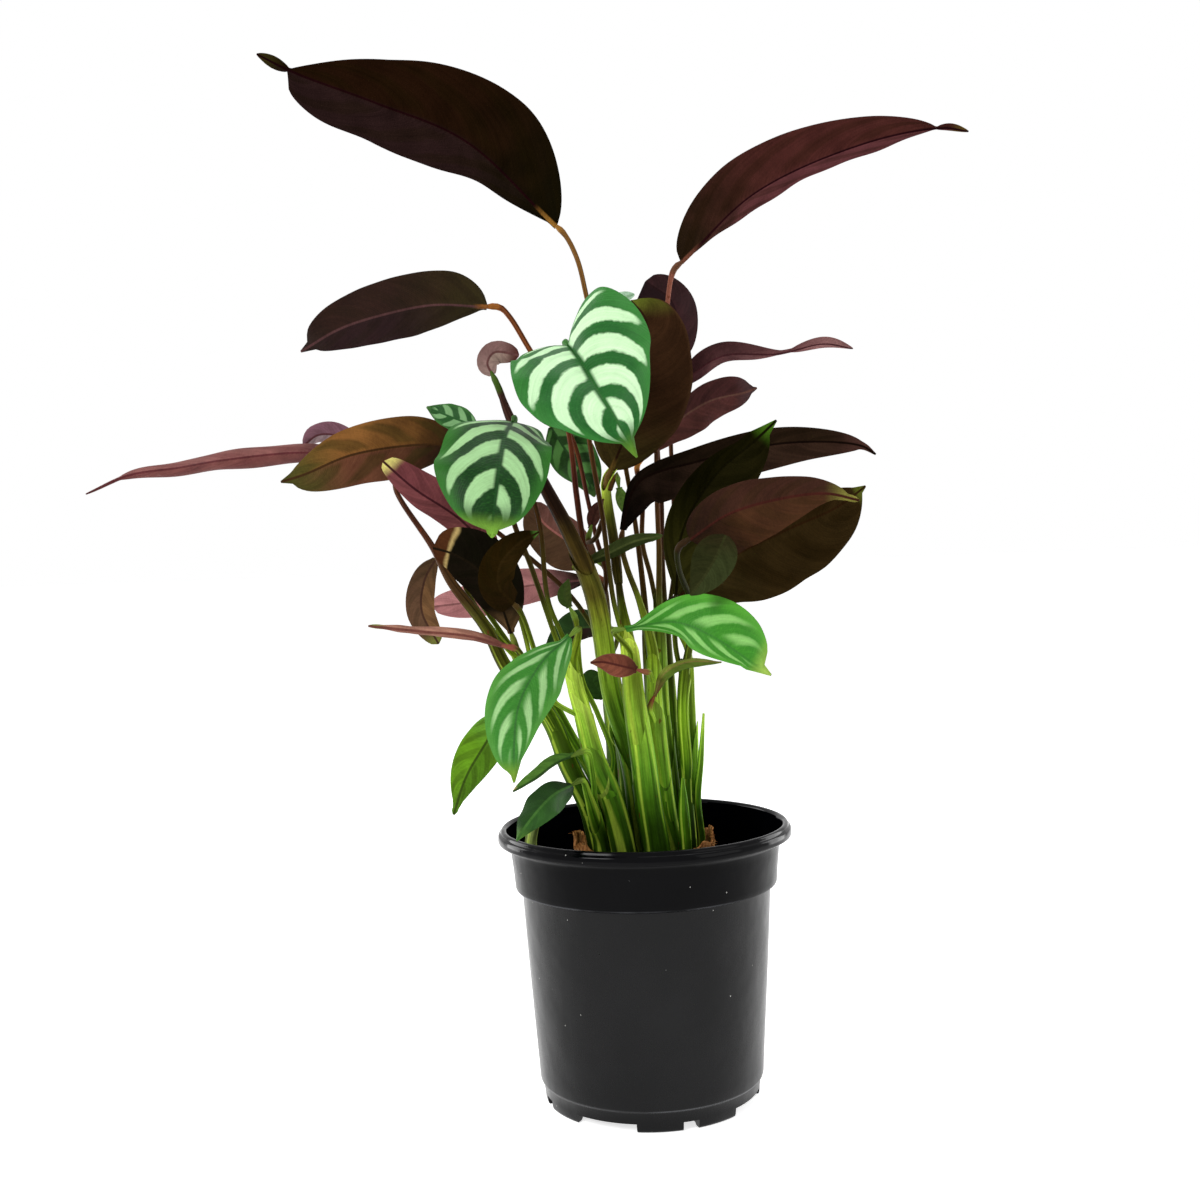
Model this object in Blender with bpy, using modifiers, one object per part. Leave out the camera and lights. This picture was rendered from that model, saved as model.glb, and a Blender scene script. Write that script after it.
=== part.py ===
"""Potted ctenanthe: a nursery pot, its potting mix, a fibre plug round the clump, and the plant.

Blender 4.5 script, metres, +Z up.  The origin is the centre of the pot's foot.  The tables are in
millimetres.  A leaf is a midrib with two half blades: the midrib runs from base to tip, and each
half has its own width, outline, fold at the midrib and curl.  A shoot is a sheathed main stalk
with thinner petioles branching off it, and every stalk ends just short of its leaf.
"""
import math

import bmesh
import bpy
import numpy as np
from mathutils import Vector

MM = 0.001
WELD = 0.00005

# Pot, in millimetres: a rim, a smooth band under it, a step down to the body, and a foot chamfer.
POT_HEIGHT = 121.0
POT_WALL = 1.4
POT_FLOOR = 2.0
BAND_TOP = 115.0
BAND_RADIUS = 59.6
STEP_HEIGHT = 94.5
STEP_DROP = 1.5
STEP_RADIUS = 57.6
BODY_RADIUS = 54.9
CHAMFER_RADIUS = 49.5
CHAMFER_HEIGHT = 9.4
FOOT_RADIUS = 47.0
POT_STEPS = 48

# Rolled rim, as radius and depth below the pot's top: up its inner slope, over the top, down the
# outer face, and back under it to the band.
RIM_PROFILE = ((61.0, 1.0), (62.6, 0.0), (63.6, 1.0), (64.8, 2.4), (65.0, 4.6), (64.4, 5.7),
               (62.4, 4.4), (61.2, 5.4), (59.6, 7.9))

# Drain notches in the pot's bottom corner, as bearings from the front, in degrees.
NOTCH_FIRST = -27.0
NOTCH_COUNT = 8
NOTCH_WIDE = 28.0
NOTCH_NARROW = 7.0
NOTCH_HEIGHT = 3.8
NOTCH_REACH = 14.0
NOTCH_CLEAR = 4.0

# What fills the pot.
FIT_GAP = 0.3
MIX_LEVEL = 88.0
MIX_HEAP = 1.5
DRAIN_CLEAR = 2.0
DRAIN_SLOPE = 2.0
PLUG_BOTTOM = 62.0
PLUG_TOP = 117.0
PLUG_FOOT_RADIUS = 25.5
PLUG_TOP_RADIUS = 31.5
PLUG_WALL = 2.6
PLUG_STEPS = 36
TORN_HEIGHT = 3.5
TORN_WAVES = (2, 7)
TORN_RIPPLE = 0.4
TORN_DROP = 1.4
CROWN_RADIUS = 24.5
CROWN_TAPER = 2.2
CROWN_RIM = 4.0
CROWN_BOTTOM = 82.0
CROWN_TOP = 93.2
CROWN_STEPS = 24

# Blades and stalks.
BLADE_THICKNESS = 0.6
BLADE_ROWS = 7
BLADE_COLUMNS = 4
SMALL_ROWS = 4
SMALL_COLUMNS = 2
SMALL_WIDTH = 6.5
BASE_HALF_WIDTH = 1.5
TIP_HALF_WIDTH = 1.0
ARC_STEPS = 24
CURVE_SAMPLES = 200
LEAF_GAP = 0.45
PULVINUS = 6.0
PETIOLE_RADIUS = 1.6
STALK_SPACING = 18.0
FEWEST_SPANS = 4
STALK_ROUNDNESS = 2
PETIOLE_ROUNDNESS = 1

PLASTIC = ("black_plastic", (0.010, 0.010, 0.012, 1), 0.25)
MIX = ("potting_mix", (0.030, 0.018, 0.012, 1), 0.95)
FIBRE = ("coir_fibre", (0.35, 0.15, 0.06, 1), 0.90)
CROWN = ("rhizome", (0.25, 0.16, 0.07, 1), 0.70)
SHEATH = ("green_sheath", (0.22, 0.36, 0.06, 1), 0.45)
STRIPED = ("striped_top", (0.13, 0.42, 0.16, 1), 0.40)
PURPLE = ("purple_underside", (0.10, 0.035, 0.05, 1), 0.50)
OLIVE = ("olive_underside", (0.10, 0.075, 0.02, 1), 0.50)
LIME = ("lime_leaf", (0.22, 0.40, 0.05, 1), 0.45)


def half(width, peak=0.42, base=0.6, tip=0.85, fold=8, curl=0):
    """Half blade: width in mm, widest place along it, roundness of its two ends, and degrees of
    fold at the midrib (one value, or base and tip) and of curl towards its margin."""
    return width, peak, base, tip, fold, curl


# name: material, midrib points, left half, right half, turn of the face at base and tip, and the
# share of the length that is a thin drip tip.  A face turned 0 looks to the front (-Y).
LEAVES = {
    "leaf_tall_left": (
        PURPLE, [(-30, 10, 387), (-70, 30, 431), (-114, 52, 456.5), (-156, 70, 478), (-174, 76, 489)],
        half(29, 0.29, 0.55, 0.8, 10, -10), half(21, 0.6, 1.0, 0.25, 10, 10), (150, 160), 0.10),
    "leaf_tall_right": (
        PURPLE, [(26, 20, 371), (63, 42, 406.5), (121, 70, 435), (163, 92, 446.5), (177, 98, 446)],
        half(14, 0.4, 1.1, 0.7, 42, 0), half(18.5, 0.3, 0.42, 0.7, 20, -10), (-150, -150), 0.10),
    "leaf_upper_left": (
        PURPLE, [(-61, -5, 350), (-83, -15, 350), (-101, -25, 345.5), (-120, -36, 338), (-135, -44, 328)],
        half(14.5, 0.25, 0.5, 0.3, 5), half(12.5, 0.45, 0.9, 0.45, 5), (155, 155), 0.06),
    "leaf_rolled_far_left": (
        PURPLE, [(-112, 16, 284), (-131, 24, 289), (-151, 32, 292), (-192, 50, 291), (-219, 66, 289),
                 (-247, 80, 287), (-272, 90, 279)],
        half(7, 0.3, 0.5, 0.4, 10, 70), half(7, 0.3, 0.5, 0.4, 10, 70), (180, 180), 0.12),
    "leaf_olive_left": (
        OLIVE, [(-72, -12, 290), (-93, -22, 290), (-118, -32, 286), (-136, -42, 278), (-145, -46, 275)],
        half(12.5, 0.35, 0.6, 0.5, 0, 10), half(14, 0.5, 0.7, 0.45, 0, 10), (165, 165), 0.05),
    "leaf_curl_left": (
        PURPLE, [(-127, 42, 295), (-135, 44, 300), (-146, 45, 301), (-153, 44, 296)],
        half(6, 0.5, 0.5, 0.5, 0, 50), half(6, 0.5, 0.5, 0.5, 0, 50), (150, 150), 0),
    "leaf_mauve_left": (
        PURPLE, [(-60, -5, 240), (-75, -20, 258), (-92, -34, 271), (-103, -44, 282)],
        half(10, 0.4, 0.6, 0.35, 10), half(7, 0.4, 0.6, 0.35, 10), (180, 170), 0),
    "leaf_striped_high": (
        STRIPED, [(-26, -28, 329), (-21, -50, 320), (-14, -70, 305), (-7, -80, 292), (0, -82, 278)],
        half(32, 0.38, 0.36, 0.72, (50, 5), -15), half(30.5, 0.5, 0.38, 0.72, (45, 5), -15),
        (5, -5), 0.08),
    "leaf_striped_middle": (
        STRIPED, [(-49, -50, 296), (-51, -75, 288), (-53, -92, 272), (-55, -97, 257), (-56, -95, 249)],
        half(19, 0.58, 0.28, 0.42, 5, -15), half(25, 0.6, 0.5, 0.42, 5, -20), (0, 0), 0.05),
    "leaf_striped_small": (
        STRIPED, [(-65, -34, 296), (-75, -32, 300), (-86, -30, 305)], half(6), half(6), (20, 20), 0),
    "leaf_scorched": (
        OLIVE, [(-54, -30, 209), (-58, -34, 222), (-66, -38, 236), (-76, -37, 243), (-85, -35, 246)],
        half(15, 0.55, 0.8, 0.4, 5), half(10, 0.55, 0.8, 0.4, 5), (175, 165), 0),
    "leaf_olive_hooked": (
        OLIVE, [(-52, -45, 222), (-57, -52, 229), (-56, -57, 238), (-49, -56, 246), (-40, -52, 251)],
        half(7, 0.4, 0.2, 0.8, 0), half(8, 0.4, 0.2, 0.8, 0), (200, 200), 0),
    "leaf_umber_back": (
        OLIVE, [(-9, 2, 278), (0, -5, 298), (8, -8, 322), (8, -4, 342), (2, 4, 352)],
        half(22, 0.5, 0.5, 0.6, 5, 20), half(26, 0.5, 0.5, 0.6, 5, 30), (180, 180), 0),
    "leaf_plum_behind": (
        PURPLE, [(18, 36, 325), (24, 40, 341), (22, 42, 357), (10, 40, 366.5)],
        half(10, 0.6, 0.5, 0.35, 0), half(16, 0.75, 0.5, 0.3, 0), (180, 180), 0),
    "leaf_twisted_right": (
        PURPLE, [(25, 57, 319), (33, 62, 326), (48, 72, 335), (77, 88, 337), (102, 102, 343),
                 (118, 110, 341)],
        half(6, 0.3, 0.6, 1.0, 10, 10), half(7, 0.3, 0.5, 1.0, 10, 10), (-150, -120), 0.34),
    "leaf_plum_right": (
        PURPLE, [(7, 30, 285), (20, 34, 299), (38, 38, 310), (55, 44, 314), (61, 45, 316)],
        half(12, 0.55, 0.9, 0.5), half(9, 0.8, 1.3, 0.35), (-160, -150), 0.04),
    "leaf_dark_right": (
        PURPLE, [(-5, -5, 251), (-3, -5, 261), (3, -5, 272), (30, 4, 280.5),
                 (72, 24, 288.5), (109, 42, 287), (116, 45, 283)],
        half(14, 0.25, 0.7, 0.5, 10), half(7.5, 0.6, 0.9, 0.45, 10), (-175, -165), 0.05),
    "leaf_olive_right": (
        OLIVE, [(16, -30, 223), (19, -38, 249), (33, -46, 272), (49, -50, 285), (58, -50, 293)],
        half(20, 0.45, 0.8, 0.6, 10), half(8.5, 0.45, 0.9, 0.8, 10), (180, 180), 0.06),
    "leaf_broad_right": (
        OLIVE, [(18, -8, 221), (39, -8, 236), (65, -4, 248), (90, 2, 258), (104, 8, 267)],
        half(26, 0.5, 0.55, 0.6, 5), half(16, 0.5, 0.7, 0.7, 5), (-170, -170), 0.03),
    "leaf_russet_right": (
        PURPLE, [(20, -75, 246), (34, -84, 255), (53, -96, 260), (69, -106, 261), (80, -110, 258)],
        half(17, 0.16, 0.4, 1.1, 5), half(10, 0.3, 0.35, 0.6, 5), (-165, -165), 0.05),
    "leaf_striped_right": (
        STRIPED, [(-6, -45, 210), (13, -60, 213), (27, -80, 208), (40, -94, 199), (47, -100, 194)],
        half(16, 0.72, 1.25, 0.36, 5, -10), half(8.5, 0.55, 1.2, 0.85, 5, -10), (20, 10), 0.06),
    "leaf_striped_low": (
        STRIPED, [(-29, -50, 208), (-40, -62, 199), (-49, -75, 184), (-51, -88, 168), (-51, -95, 156)],
        half(13, 0.4, 0.6, 0.9, 5, -15), half(13, 0.55, 1.5, 0.5, 5, -15), (0, 0), 0.05),
    "leaf_lime_low": (
        LIME, [(-57, -46, 178), (-63.5, -55, 167.5), (-72, -64, 154), (-77, -70, 140)],
        half(9), half(8), (180, 180), 0.05),
    "leaf_rolled_low": (
        LIME, [(-29, -42, 158), (-36, -46, 156), (-46, -52, 150), (-54, -56, 146)],
        half(4, 0.4, 0.6, 0.6, 20, 60), half(4, 0.4, 0.6, 0.6, 20, 60), (150, 150), 0),
    "leaf_arching_low": (
        STRIPED, [(-30, -50, 147), (-38, -60, 144.5), (-47, -70, 136.5), (-52, -76, 130)],
        half(7, 0.35, 0.5, 0.9, -10, -20), half(8, 0.4, 0.6, 0.9, -10, -20), (30, 20), 0),
    "leaf_purple_small": (
        PURPLE, [(-1.5, -28, 191.5), (-9, -33, 194), (-16, -37, 196), (-21, -38, 196)],
        half(5), half(5), (0, 0), 0),
    "leaf_rolled_pink": (
        PURPLE, [(-56, -40, 204), (-70, -44, 209), (-90, -48, 212), (-111, -50, 215)],
        half(3, 0.3, 0.5, 0.5, 10, 60), half(3, 0.3, 0.5, 0.5, 10, 60), (170, 170), 0.10),
    "leaf_hanging": (
        PURPLE, [(-89, 10, 241), (-94.5, 12, 232), (-96.5, 12, 218), (-89, 8, 203)],
        half(6, 0.5, 0.5, 0.4, 0), half(7, 0.5, 0.5, 0.4, 0), (0, 0), 0),
    "leaf_dusty_back": (
        PURPLE, [(-21, 40, 229), (-54, 54, 226), (-79, 68, 219.5), (-99, 79, 217)],
        half(9.5, 0.5, 0.7, 0.33, 0), half(9.5, 0.5, 0.7, 0.33, 0), (165, 165), 0),
    "leaf_mauve_back": (
        PURPLE, [(-18, 28, 238), (-30, 34, 247), (-42, 40, 257), (-46, 43, 266)],
        half(10, 0.5, 0.5, 0.5, 0), half(14, 0.4, 0.5, 0.6, 0), (180, 180), 0),
    "leaf_strap": (
        LIME, [(-22, -9, 237), (-12, -9, 241), (0, -9, 246), (12, -9, 248)],
        half(3.5, 0.5, 0.4, 0.5, 0), half(3, 0.5, 0.4, 0.5, 0), (20, 20), 0.05),
    "leaf_green_back": (
        STRIPED, [(-14, 44, 205), (-24, 50, 206), (-34, 56, 202), (-43, 60, 197)],
        half(9), half(6), (170, 170), 0),
    "leaf_green_bud": (
        STRIPED, [(-16, 9, 176), (-19, 8, 180), (-21, 7, 185), (-18, 6, 188)],
        half(5, 0.5, 0.5, 0.5, 0, -20), half(5, 0.5, 0.5, 0.5, 0, -20), (0, 0), 0),
    "leaf_lime_arching": (
        LIME, [(6, -16, 179), (10, -18, 188), (19, -20, 193), (35, -22, 193)],
        half(4, 0.4, 0.6, 0.7, 0, -20), half(4, 0.4, 0.6, 0.7, 0, -20), (-60, -60), 0),
    "leaf_unfurling": (
        PURPLE, [(-57, -44, 316), (-59, -42, 321), (-56, -40, 325.5), (-46, -40, 324)],
        half(5, 0.5, 0.4, 0.4, 0, 20), half(5, 0.5, 0.4, 0.4, 0, 20), (180, 180), 0),
    "leaf_striped_back": (
        STRIPED, [(-36, 30, 300), (-29, 32, 288), (-21, 31, 277), (-17, 30, 267)],
        half(12), half(9.5), (0, 0), 0),
    "leaf_stem_small": (
        LIME, [(-29, -30, 219), (-31, -32, 224), (-29, -32, 231)], half(3), half(3), (0, 0), 0),
    "leaf_hanging_small": (
        LIME, [(-6, 4, 270), (-5, 5, 264), (-4, 5, 258)], half(3), half(2.5), (0, 0), 0),
    "leaf_plum_small": (
        PURPLE, [(-19, -6, 252), (-17, -5, 259), (-13, -4, 265)], half(3), half(3), (180, 180), 0),
}

# name: main stalk as (x, y, z, radius) points and the leaf it ends at, then the petioles that
# branch off it, each as its points and its leaf.
SHOOTS = {
    "shoot_01": ([(-17, -13, 94.3, 3.8), (-18, -14, 110, 4.0), (-19, -16, 118, 3.3), (-21, -21, 126, 2.9),
                  (-24, -33, 140, 2)],
                 "leaf_arching_low",
                 [([(-20.5, -19, 122), (-22, -30, 150)], "leaf_rolled_low")]),
    "shoot_02": ([(-18.5, -4, 94.3, 4.2), (-20, -6, 110, 4.5), (-24, -13, 131, 4.2), (-32, -17, 150, 3.8),
                  (-40, -21, 172, 3.2), (-57, -24, 194, 2.8), (-65, -22, 211, 2.5), (-80, -14, 231, 2.2),
                  (-88, -8, 246, 1.8), (-105, 6, 272, 1.6)],
                 "leaf_rolled_far_left",
                 [([(-39, -20.5, 170), (-43, -26, 182)], "leaf_scorched"),
                  ([(-39, -20.5, 170), (-48, -32, 186)], "leaf_rolled_pink"),
                  ([(-36, -19, 162), (-43, -32, 177), (-51, -39, 185)], "leaf_lime_low")]),
    "shoot_03": ([(-10, -6.5, 94.3, 3.3), (-11.5, -7.5, 110, 3.5), (-15, -7, 124, 3), (-21, -9, 143, 2.6),
                  (-30, -10, 160, 2.2), (-39, -12, 178, 2.1), (-47, -15, 191, 2.1), (-62, -14, 208, 1.8),
                  (-74, -8, 227, 1.6), (-78, -4, 245, 1.6), (-78, -2, 266, 1.6), (-72, -8, 286, 1.6)],
                 "leaf_olive_left",
                 [([(-46, -14.5, 189.5), (-55, -9, 201), (-71, -2, 225), (-81, 5, 240)], "leaf_hanging"),
                  ([(-46, -14.5, 189.5), (-49, -9, 205), (-54, -5, 225)], "leaf_mauve_left")]),
    "shoot_04": ([(-8, -17, 94.3, 4.8), (-9, -19, 110, 5.1), (-14, -20, 135, 4.6), (-20, -22, 151, 4.2),
                  (-25, -25, 173, 3.4), (-29, -30, 195, 2.6), (-26, -38, 206, 1.9)],
                 "leaf_striped_low",
                 [([(-28, -28.5, 188), (-34, -33, 203), (-41, -36, 226), (-45, -38, 239), (-51, -41, 257),
                    (-53, -40, 280)], "leaf_striped_middle"),
                  ([(-28, -28.5, 188), (-32, -28, 205), (-38, -29, 222), (-40, -30, 251), (-42, -31, 262),
                    (-49, -32, 281)], "leaf_striped_small"),
                  ([(-24.5, -24.5, 171), (-39, -33, 182), (-44, -40, 202)], "leaf_olive_hooked"),
                  ([(-16, -20.5, 140), (-13, -15, 152), (-19, -20, 173), (-25, -23, 188)],
                   "leaf_stem_small")]),
    "shoot_05": ([(-1, -7, 94.3, 4.2), (-1, -8, 110, 4.5), (-2, -8, 124, 4.5), (-5, -9, 151, 4.3),
                  (-12, -9, 177, 4.1), (-14, -10, 190, 4.1), (-15, -11, 203, 4.1), (-19, -12, 226, 4.0),
                  (-28, -20, 250, 3.4), (-39, -30, 273, 2.7), (-50.5, -36, 298, 2.2)],
                 "leaf_unfurling",
                 [([(-22, -15, 233), (-24.5, -10, 236)], "leaf_strap")]),
    "shoot_06": ([(4, -18, 94.3, 5.6), (4.5, -20, 110, 6.0), (2, -20, 130, 5.6), (0, -20, 152, 5.2),
                  (-3, -19, 178, 4.4), (-4, -15, 197, 3.4), (-7, -5, 221, 2.0), (-9, 2, 246, 1.8)],
                 "leaf_umber_back",
                 [([(-4, -15.5, 195), (-10, -13, 219), (-12, -15, 237), (-14, -18, 258), (-17, -20, 279),
                    (-21, -16, 307), (-26, -16, 325)], "leaf_striped_high"),
                  ([(-3.5, -17, 190), (-4, -26, 199)], "leaf_striped_right"),
                  ([(-10, 1, 269), (-8, 3.5, 274)], "leaf_hanging_small"),
                  ([(-14, -17.5, 255), (-17, -12, 248)], "leaf_plum_small")]),
    "shoot_07": ([(11.5, -11, 94.3, 3.6), (13, -12.5, 110, 3.9), (10, -12, 128, 3.7), (8, -11, 150, 3.5),
                  (6, -9, 176, 3.2), (6, -7, 198, 2.6), (1, -5.5, 220, 1.8), (-4, -4.5, 235, 1.7)],
                 "leaf_dark_right",
                 [([(6, -8.5, 183), (4, -19, 190)], "leaf_purple_small"),
                  ([(7, -10, 163), (5, -14, 170)], "leaf_lime_arching")]),
    "shoot_08": ([(5.3, 2.6, 94.3, 3.3), (6, 3, 110, 3.5), (6, 7, 150, 3.0), (5, 8, 175, 2.6),
                  (4, 8, 202, 2.2), (4, 8, 214, 1.9), (2, 9, 242, 1.7), (0, 11, 261, 1.6),
                  (-3, 12, 282, 1.6), (-7, 11, 309, 1.6), (-12, 8, 331, 1.6), (-17, 4, 352, 1.6),
                  (-21, 5, 371, 1.6)],
                 "leaf_tall_left", []),
    "shoot_09": ([(-5.3, 2.6, 94.3, 3.7), (-6, 3, 110, 4.0), (-7, 4, 149, 3.6), (-10, 5, 175, 3.2),
                  (-14, 6, 202, 2.8), (-17, 6, 225, 2.4), (-22, 4, 243, 1.8), (-25, 6, 268, 1.7),
                  (-27, 4, 292, 1.6), (-31, 0, 311, 1.6), (-43, -3, 331, 1.6), (-51, -5, 345, 1.6)],
                 "leaf_upper_left",
                 [([(-15.5, 6, 214), (-13, 12, 231), (-17, 16, 249), (-20, 20, 265), (-26, 26, 293),
                    (-34, 27, 306)], "leaf_striped_back"),
                  ([(-7.5, 4, 150), (-13, 5, 160)], "leaf_green_bud")]),
    "shoot_10": ([(12.3, -1, 94.3, 3.3), (14, -1, 110, 3.5), (12, 2, 148, 3.2), (10, 2, 175, 2.9),
                  (10, 2, 202, 2.5), (10, 3, 216, 1.9), (11, 6, 242, 1.7), (11, 11, 262, 1.6),
                  (12, 18, 291, 1.6), (14, 16, 318, 1.6), (18, 13, 348, 1.6)],
                 "leaf_tall_right",
                 [([(10, 2, 210), (7, 12, 230), (4, 18, 245), (5, 25, 268)], "leaf_plum_right")]),
    "shoot_11": ([(15, 8, 94.3, 3.2), (17, 9, 110, 3.4), (15, 11, 147, 3.1), (14, 14, 174, 2.8),
                  (13, 18, 201, 2.4), (13, 24, 237, 1.7), (14, 34, 265, 1.6), (13, 37, 292, 1.6),
                  (14, 36, 312, 1.6)],
                 "leaf_plum_behind",
                 [([(13, 18.5, 205), (19, 29, 235), (20, 42, 265), (20, 50, 293)],
                   "leaf_twisted_right")]),
    "shoot_12": ([(18, -8, 94.3, 2.4), (20.2, -9, 110, 2.5), (19.3, -6, 131, 2.4), (19.3, -5, 149, 2.3),
                  (18.6, -4, 172, 2.1), (20, -8, 188, 2.2), (22, -20, 203, 1.8), (21, -42, 221, 1.7),
                  (16, -60, 234, 1.6)],
                 "leaf_russet_right",
                 [([(19.5, -6, 183), (16, -14, 199)], "leaf_olive_right")]),
    "shoot_13": ([(20, 3, 94.3, 2.4), (22.5, 3.5, 110, 2.5), (23, 4, 148, 2.1), (23, 4, 175, 2.0),
                  (22, 0, 197, 1.8)],
                 "leaf_broad_right", []),
    "shoot_14": ([(-12.3, 9, 94.3, 3.6), (-14, 10, 110, 3.8), (-12, 13, 147, 3.2), (-13, 19, 174, 2.9),
                  (-15, 27, 195, 2.5), (-13, 33, 212, 2.0)],
                 "leaf_dusty_back",
                 [([(-15, 27.5, 196), (-15, 26, 215)], "leaf_mauve_back"),
                  ([(-14.5, 25, 190), (-9, 36, 199)], "leaf_green_back"),
                  ([(-14.5, 28, 198), (-30, 33, 222), (-60, 36, 250), (-100, 39, 280)],
                   "leaf_curl_left")]),
}

# New leaves still rolled into a spear, as main stalks with a pointed end.
SPEARS = {
    "spear_slender": [(21.5, -2.6, 94.3, 1.8), (25, -3, 110, 1.9), (24, -3, 131, 1.7), (26, -3, 148, 1.3),
                      (28, -2, 169, 0.5)],
    "spear_pointed": [(15.6, -15.6, 94.3, 2.4), (17.5, -17.5, 110, 2.5), (17, -18.5, 129, 2.4),
                      (17, -17, 143, 0.6)],
}


# ---------------------------------------------------------------- small tools

def clear_scene():
    for thing in list(bpy.data.objects):
        bpy.data.objects.remove(thing)
    for collection in list(bpy.data.collections):
        bpy.data.collections.remove(collection)


def new_collection(name):
    collection = bpy.data.collections.new(name)
    bpy.context.scene.collection.children.link(collection)
    return collection


def material(name, colour, roughness):
    found = bpy.data.materials.get(name)
    if found:
        return found
    made = bpy.data.materials.new(name)
    made.use_nodes = True
    shader = made.node_tree.nodes["Principled BSDF"]
    shader.inputs["Base Color"].default_value = colour
    shader.inputs["Roughness"].default_value = roughness
    shader.inputs["Metallic"].default_value = 0.0
    made.diffuse_color = colour
    return made


def add_object(name, mesh, collection, finish):
    thing = bpy.data.objects.new(name, mesh)
    collection.objects.link(thing)
    mesh.materials.append(material(*finish))
    for face in mesh.polygons:
        face.use_smooth = True
    return thing


# ---------------------------------------------------------------- turned pieces

def turned(name, profile, collection, finish, steps=POT_STEPS):
    """A solid of revolution.  The profile runs from the axis up the inner side, then down the
    outer side and back to the axis, in millimetres."""
    mesh = bpy.data.meshes.new(name)
    points = [(radius * MM, 0, height * MM) for radius, height in profile]
    mesh.from_pydata(points, [(i, i + 1) for i in range(len(points) - 1)], [])
    thing = add_object(name, mesh, collection, finish)
    screw = thing.modifiers.new("turn", "SCREW")
    screw.steps = steps
    screw.render_steps = steps
    screw.use_merge_vertices = True
    screw.merge_threshold = WELD
    screw.use_smooth_shade = True
    return thing


def inner_radius(height):
    """Inner radius of the pot at a height."""
    if height > STEP_HEIGHT - POT_WALL:
        share = (height - STEP_HEIGHT) / (BAND_TOP - STEP_HEIGHT)
        return STEP_RADIUS + (BAND_RADIUS - STEP_RADIUS) * min(max(share, 0), 1) - POT_WALL
    if height > CHAMFER_HEIGHT:
        share = (height - CHAMFER_HEIGHT) / (STEP_HEIGHT - CHAMFER_HEIGHT)
        return CHAMFER_RADIUS + (BODY_RADIUS - CHAMFER_RADIUS) * share - POT_WALL
    return FOOT_RADIUS + (CHAMFER_RADIUS - FOOT_RADIUS) * height / CHAMFER_HEIGHT - POT_WALL


def make_pot(collection, cutters):
    """Thin pot with a rolled rim, a stepped band below it and notches in its bottom corner."""
    ledge = STEP_HEIGHT - POT_WALL
    profile = [
        (0, POT_FLOOR),
        (inner_radius(POT_FLOOR), POT_FLOOR),
        (inner_radius(CHAMFER_HEIGHT), CHAMFER_HEIGHT),
        (BODY_RADIUS - POT_WALL, ledge - STEP_DROP / 2),
        (STEP_RADIUS - POT_WALL, ledge + STEP_DROP / 2),
        (BAND_RADIUS - POT_WALL, BAND_TOP),
        *((radius, POT_HEIGHT - depth) for radius, depth in RIM_PROFILE),
        (STEP_RADIUS, STEP_HEIGHT),
        (BODY_RADIUS, STEP_HEIGHT - STEP_DROP),
        (CHAMFER_RADIUS, CHAMFER_HEIGHT),
        (FOOT_RADIUS, 0),
        (0, 0),
    ]
    pot = turned("pot", profile, collection, PLASTIC)
    for index in range(NOTCH_COUNT):
        width = NOTCH_NARROW if index % 2 else NOTCH_WIDE
        bearing = math.radians(NOTCH_FIRST + index * 360 / NOTCH_COUNT - 90)
        bpy.ops.mesh.primitive_cube_add(size=1, rotation=(0, 0, bearing))
        cutter = bpy.context.object
        cutter.name = f"notch_cutter_{index}"
        middle = FOOT_RADIUS + (NOTCH_CLEAR - NOTCH_REACH) / 2
        cutter.location = (middle * MM * math.cos(bearing), middle * MM * math.sin(bearing),
                           (NOTCH_HEIGHT - NOTCH_CLEAR) / 2 * MM)
        cutter.scale = ((NOTCH_REACH + NOTCH_CLEAR) * MM, width * MM, (NOTCH_HEIGHT + NOTCH_CLEAR) * MM)
        for owner in list(cutter.users_collection):
            owner.objects.unlink(cutter)
        cutters.objects.link(cutter)
        cutter.hide_render = True
        cutter.display_type = "WIRE"
        cut = pot.modifiers.new(f"notch_{index}", "BOOLEAN")
        cut.operation = "DIFFERENCE"
        cut.solver = "EXACT"
        cut.object = cutter
    return pot


def plug_radius(height):
    share = (height - PLUG_BOTTOM) / (PLUG_TOP - PLUG_BOTTOM)
    return PLUG_FOOT_RADIUS + (PLUG_TOP_RADIUS - PLUG_FOOT_RADIUS) * share


def make_mix(collection):
    """Potting mix: fills the pot and the plug, with a ring groove that the plug stands in."""
    floor = NOTCH_HEIGHT + DRAIN_CLEAR
    foot = FOOT_RADIUS - NOTCH_REACH - DRAIN_CLEAR - DRAIN_SLOPE
    groove = PLUG_BOTTOM - FIT_GAP
    heap = MIX_LEVEL + MIX_HEAP
    profile = [
        (0, CROWN_BOTTOM - FIT_GAP),
        (plug_radius(CROWN_BOTTOM) - PLUG_WALL - FIT_GAP, CROWN_BOTTOM - FIT_GAP),
        (plug_radius(PLUG_BOTTOM) - PLUG_WALL - FIT_GAP, groove),
        (plug_radius(PLUG_BOTTOM) + FIT_GAP, groove),
        (plug_radius(heap) + FIT_GAP, heap),
        (inner_radius(MIX_LEVEL) - FIT_GAP, MIX_LEVEL),
        (inner_radius(CHAMFER_HEIGHT) - FIT_GAP, CHAMFER_HEIGHT),
        (inner_radius(floor) - FIT_GAP, floor),
        (foot + DRAIN_SLOPE, floor),
        (foot, POT_FLOOR + FIT_GAP),
        (0, POT_FLOOR + FIT_GAP),
    ]
    return turned("potting_mix", profile, collection, MIX, PLUG_STEPS)


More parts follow.
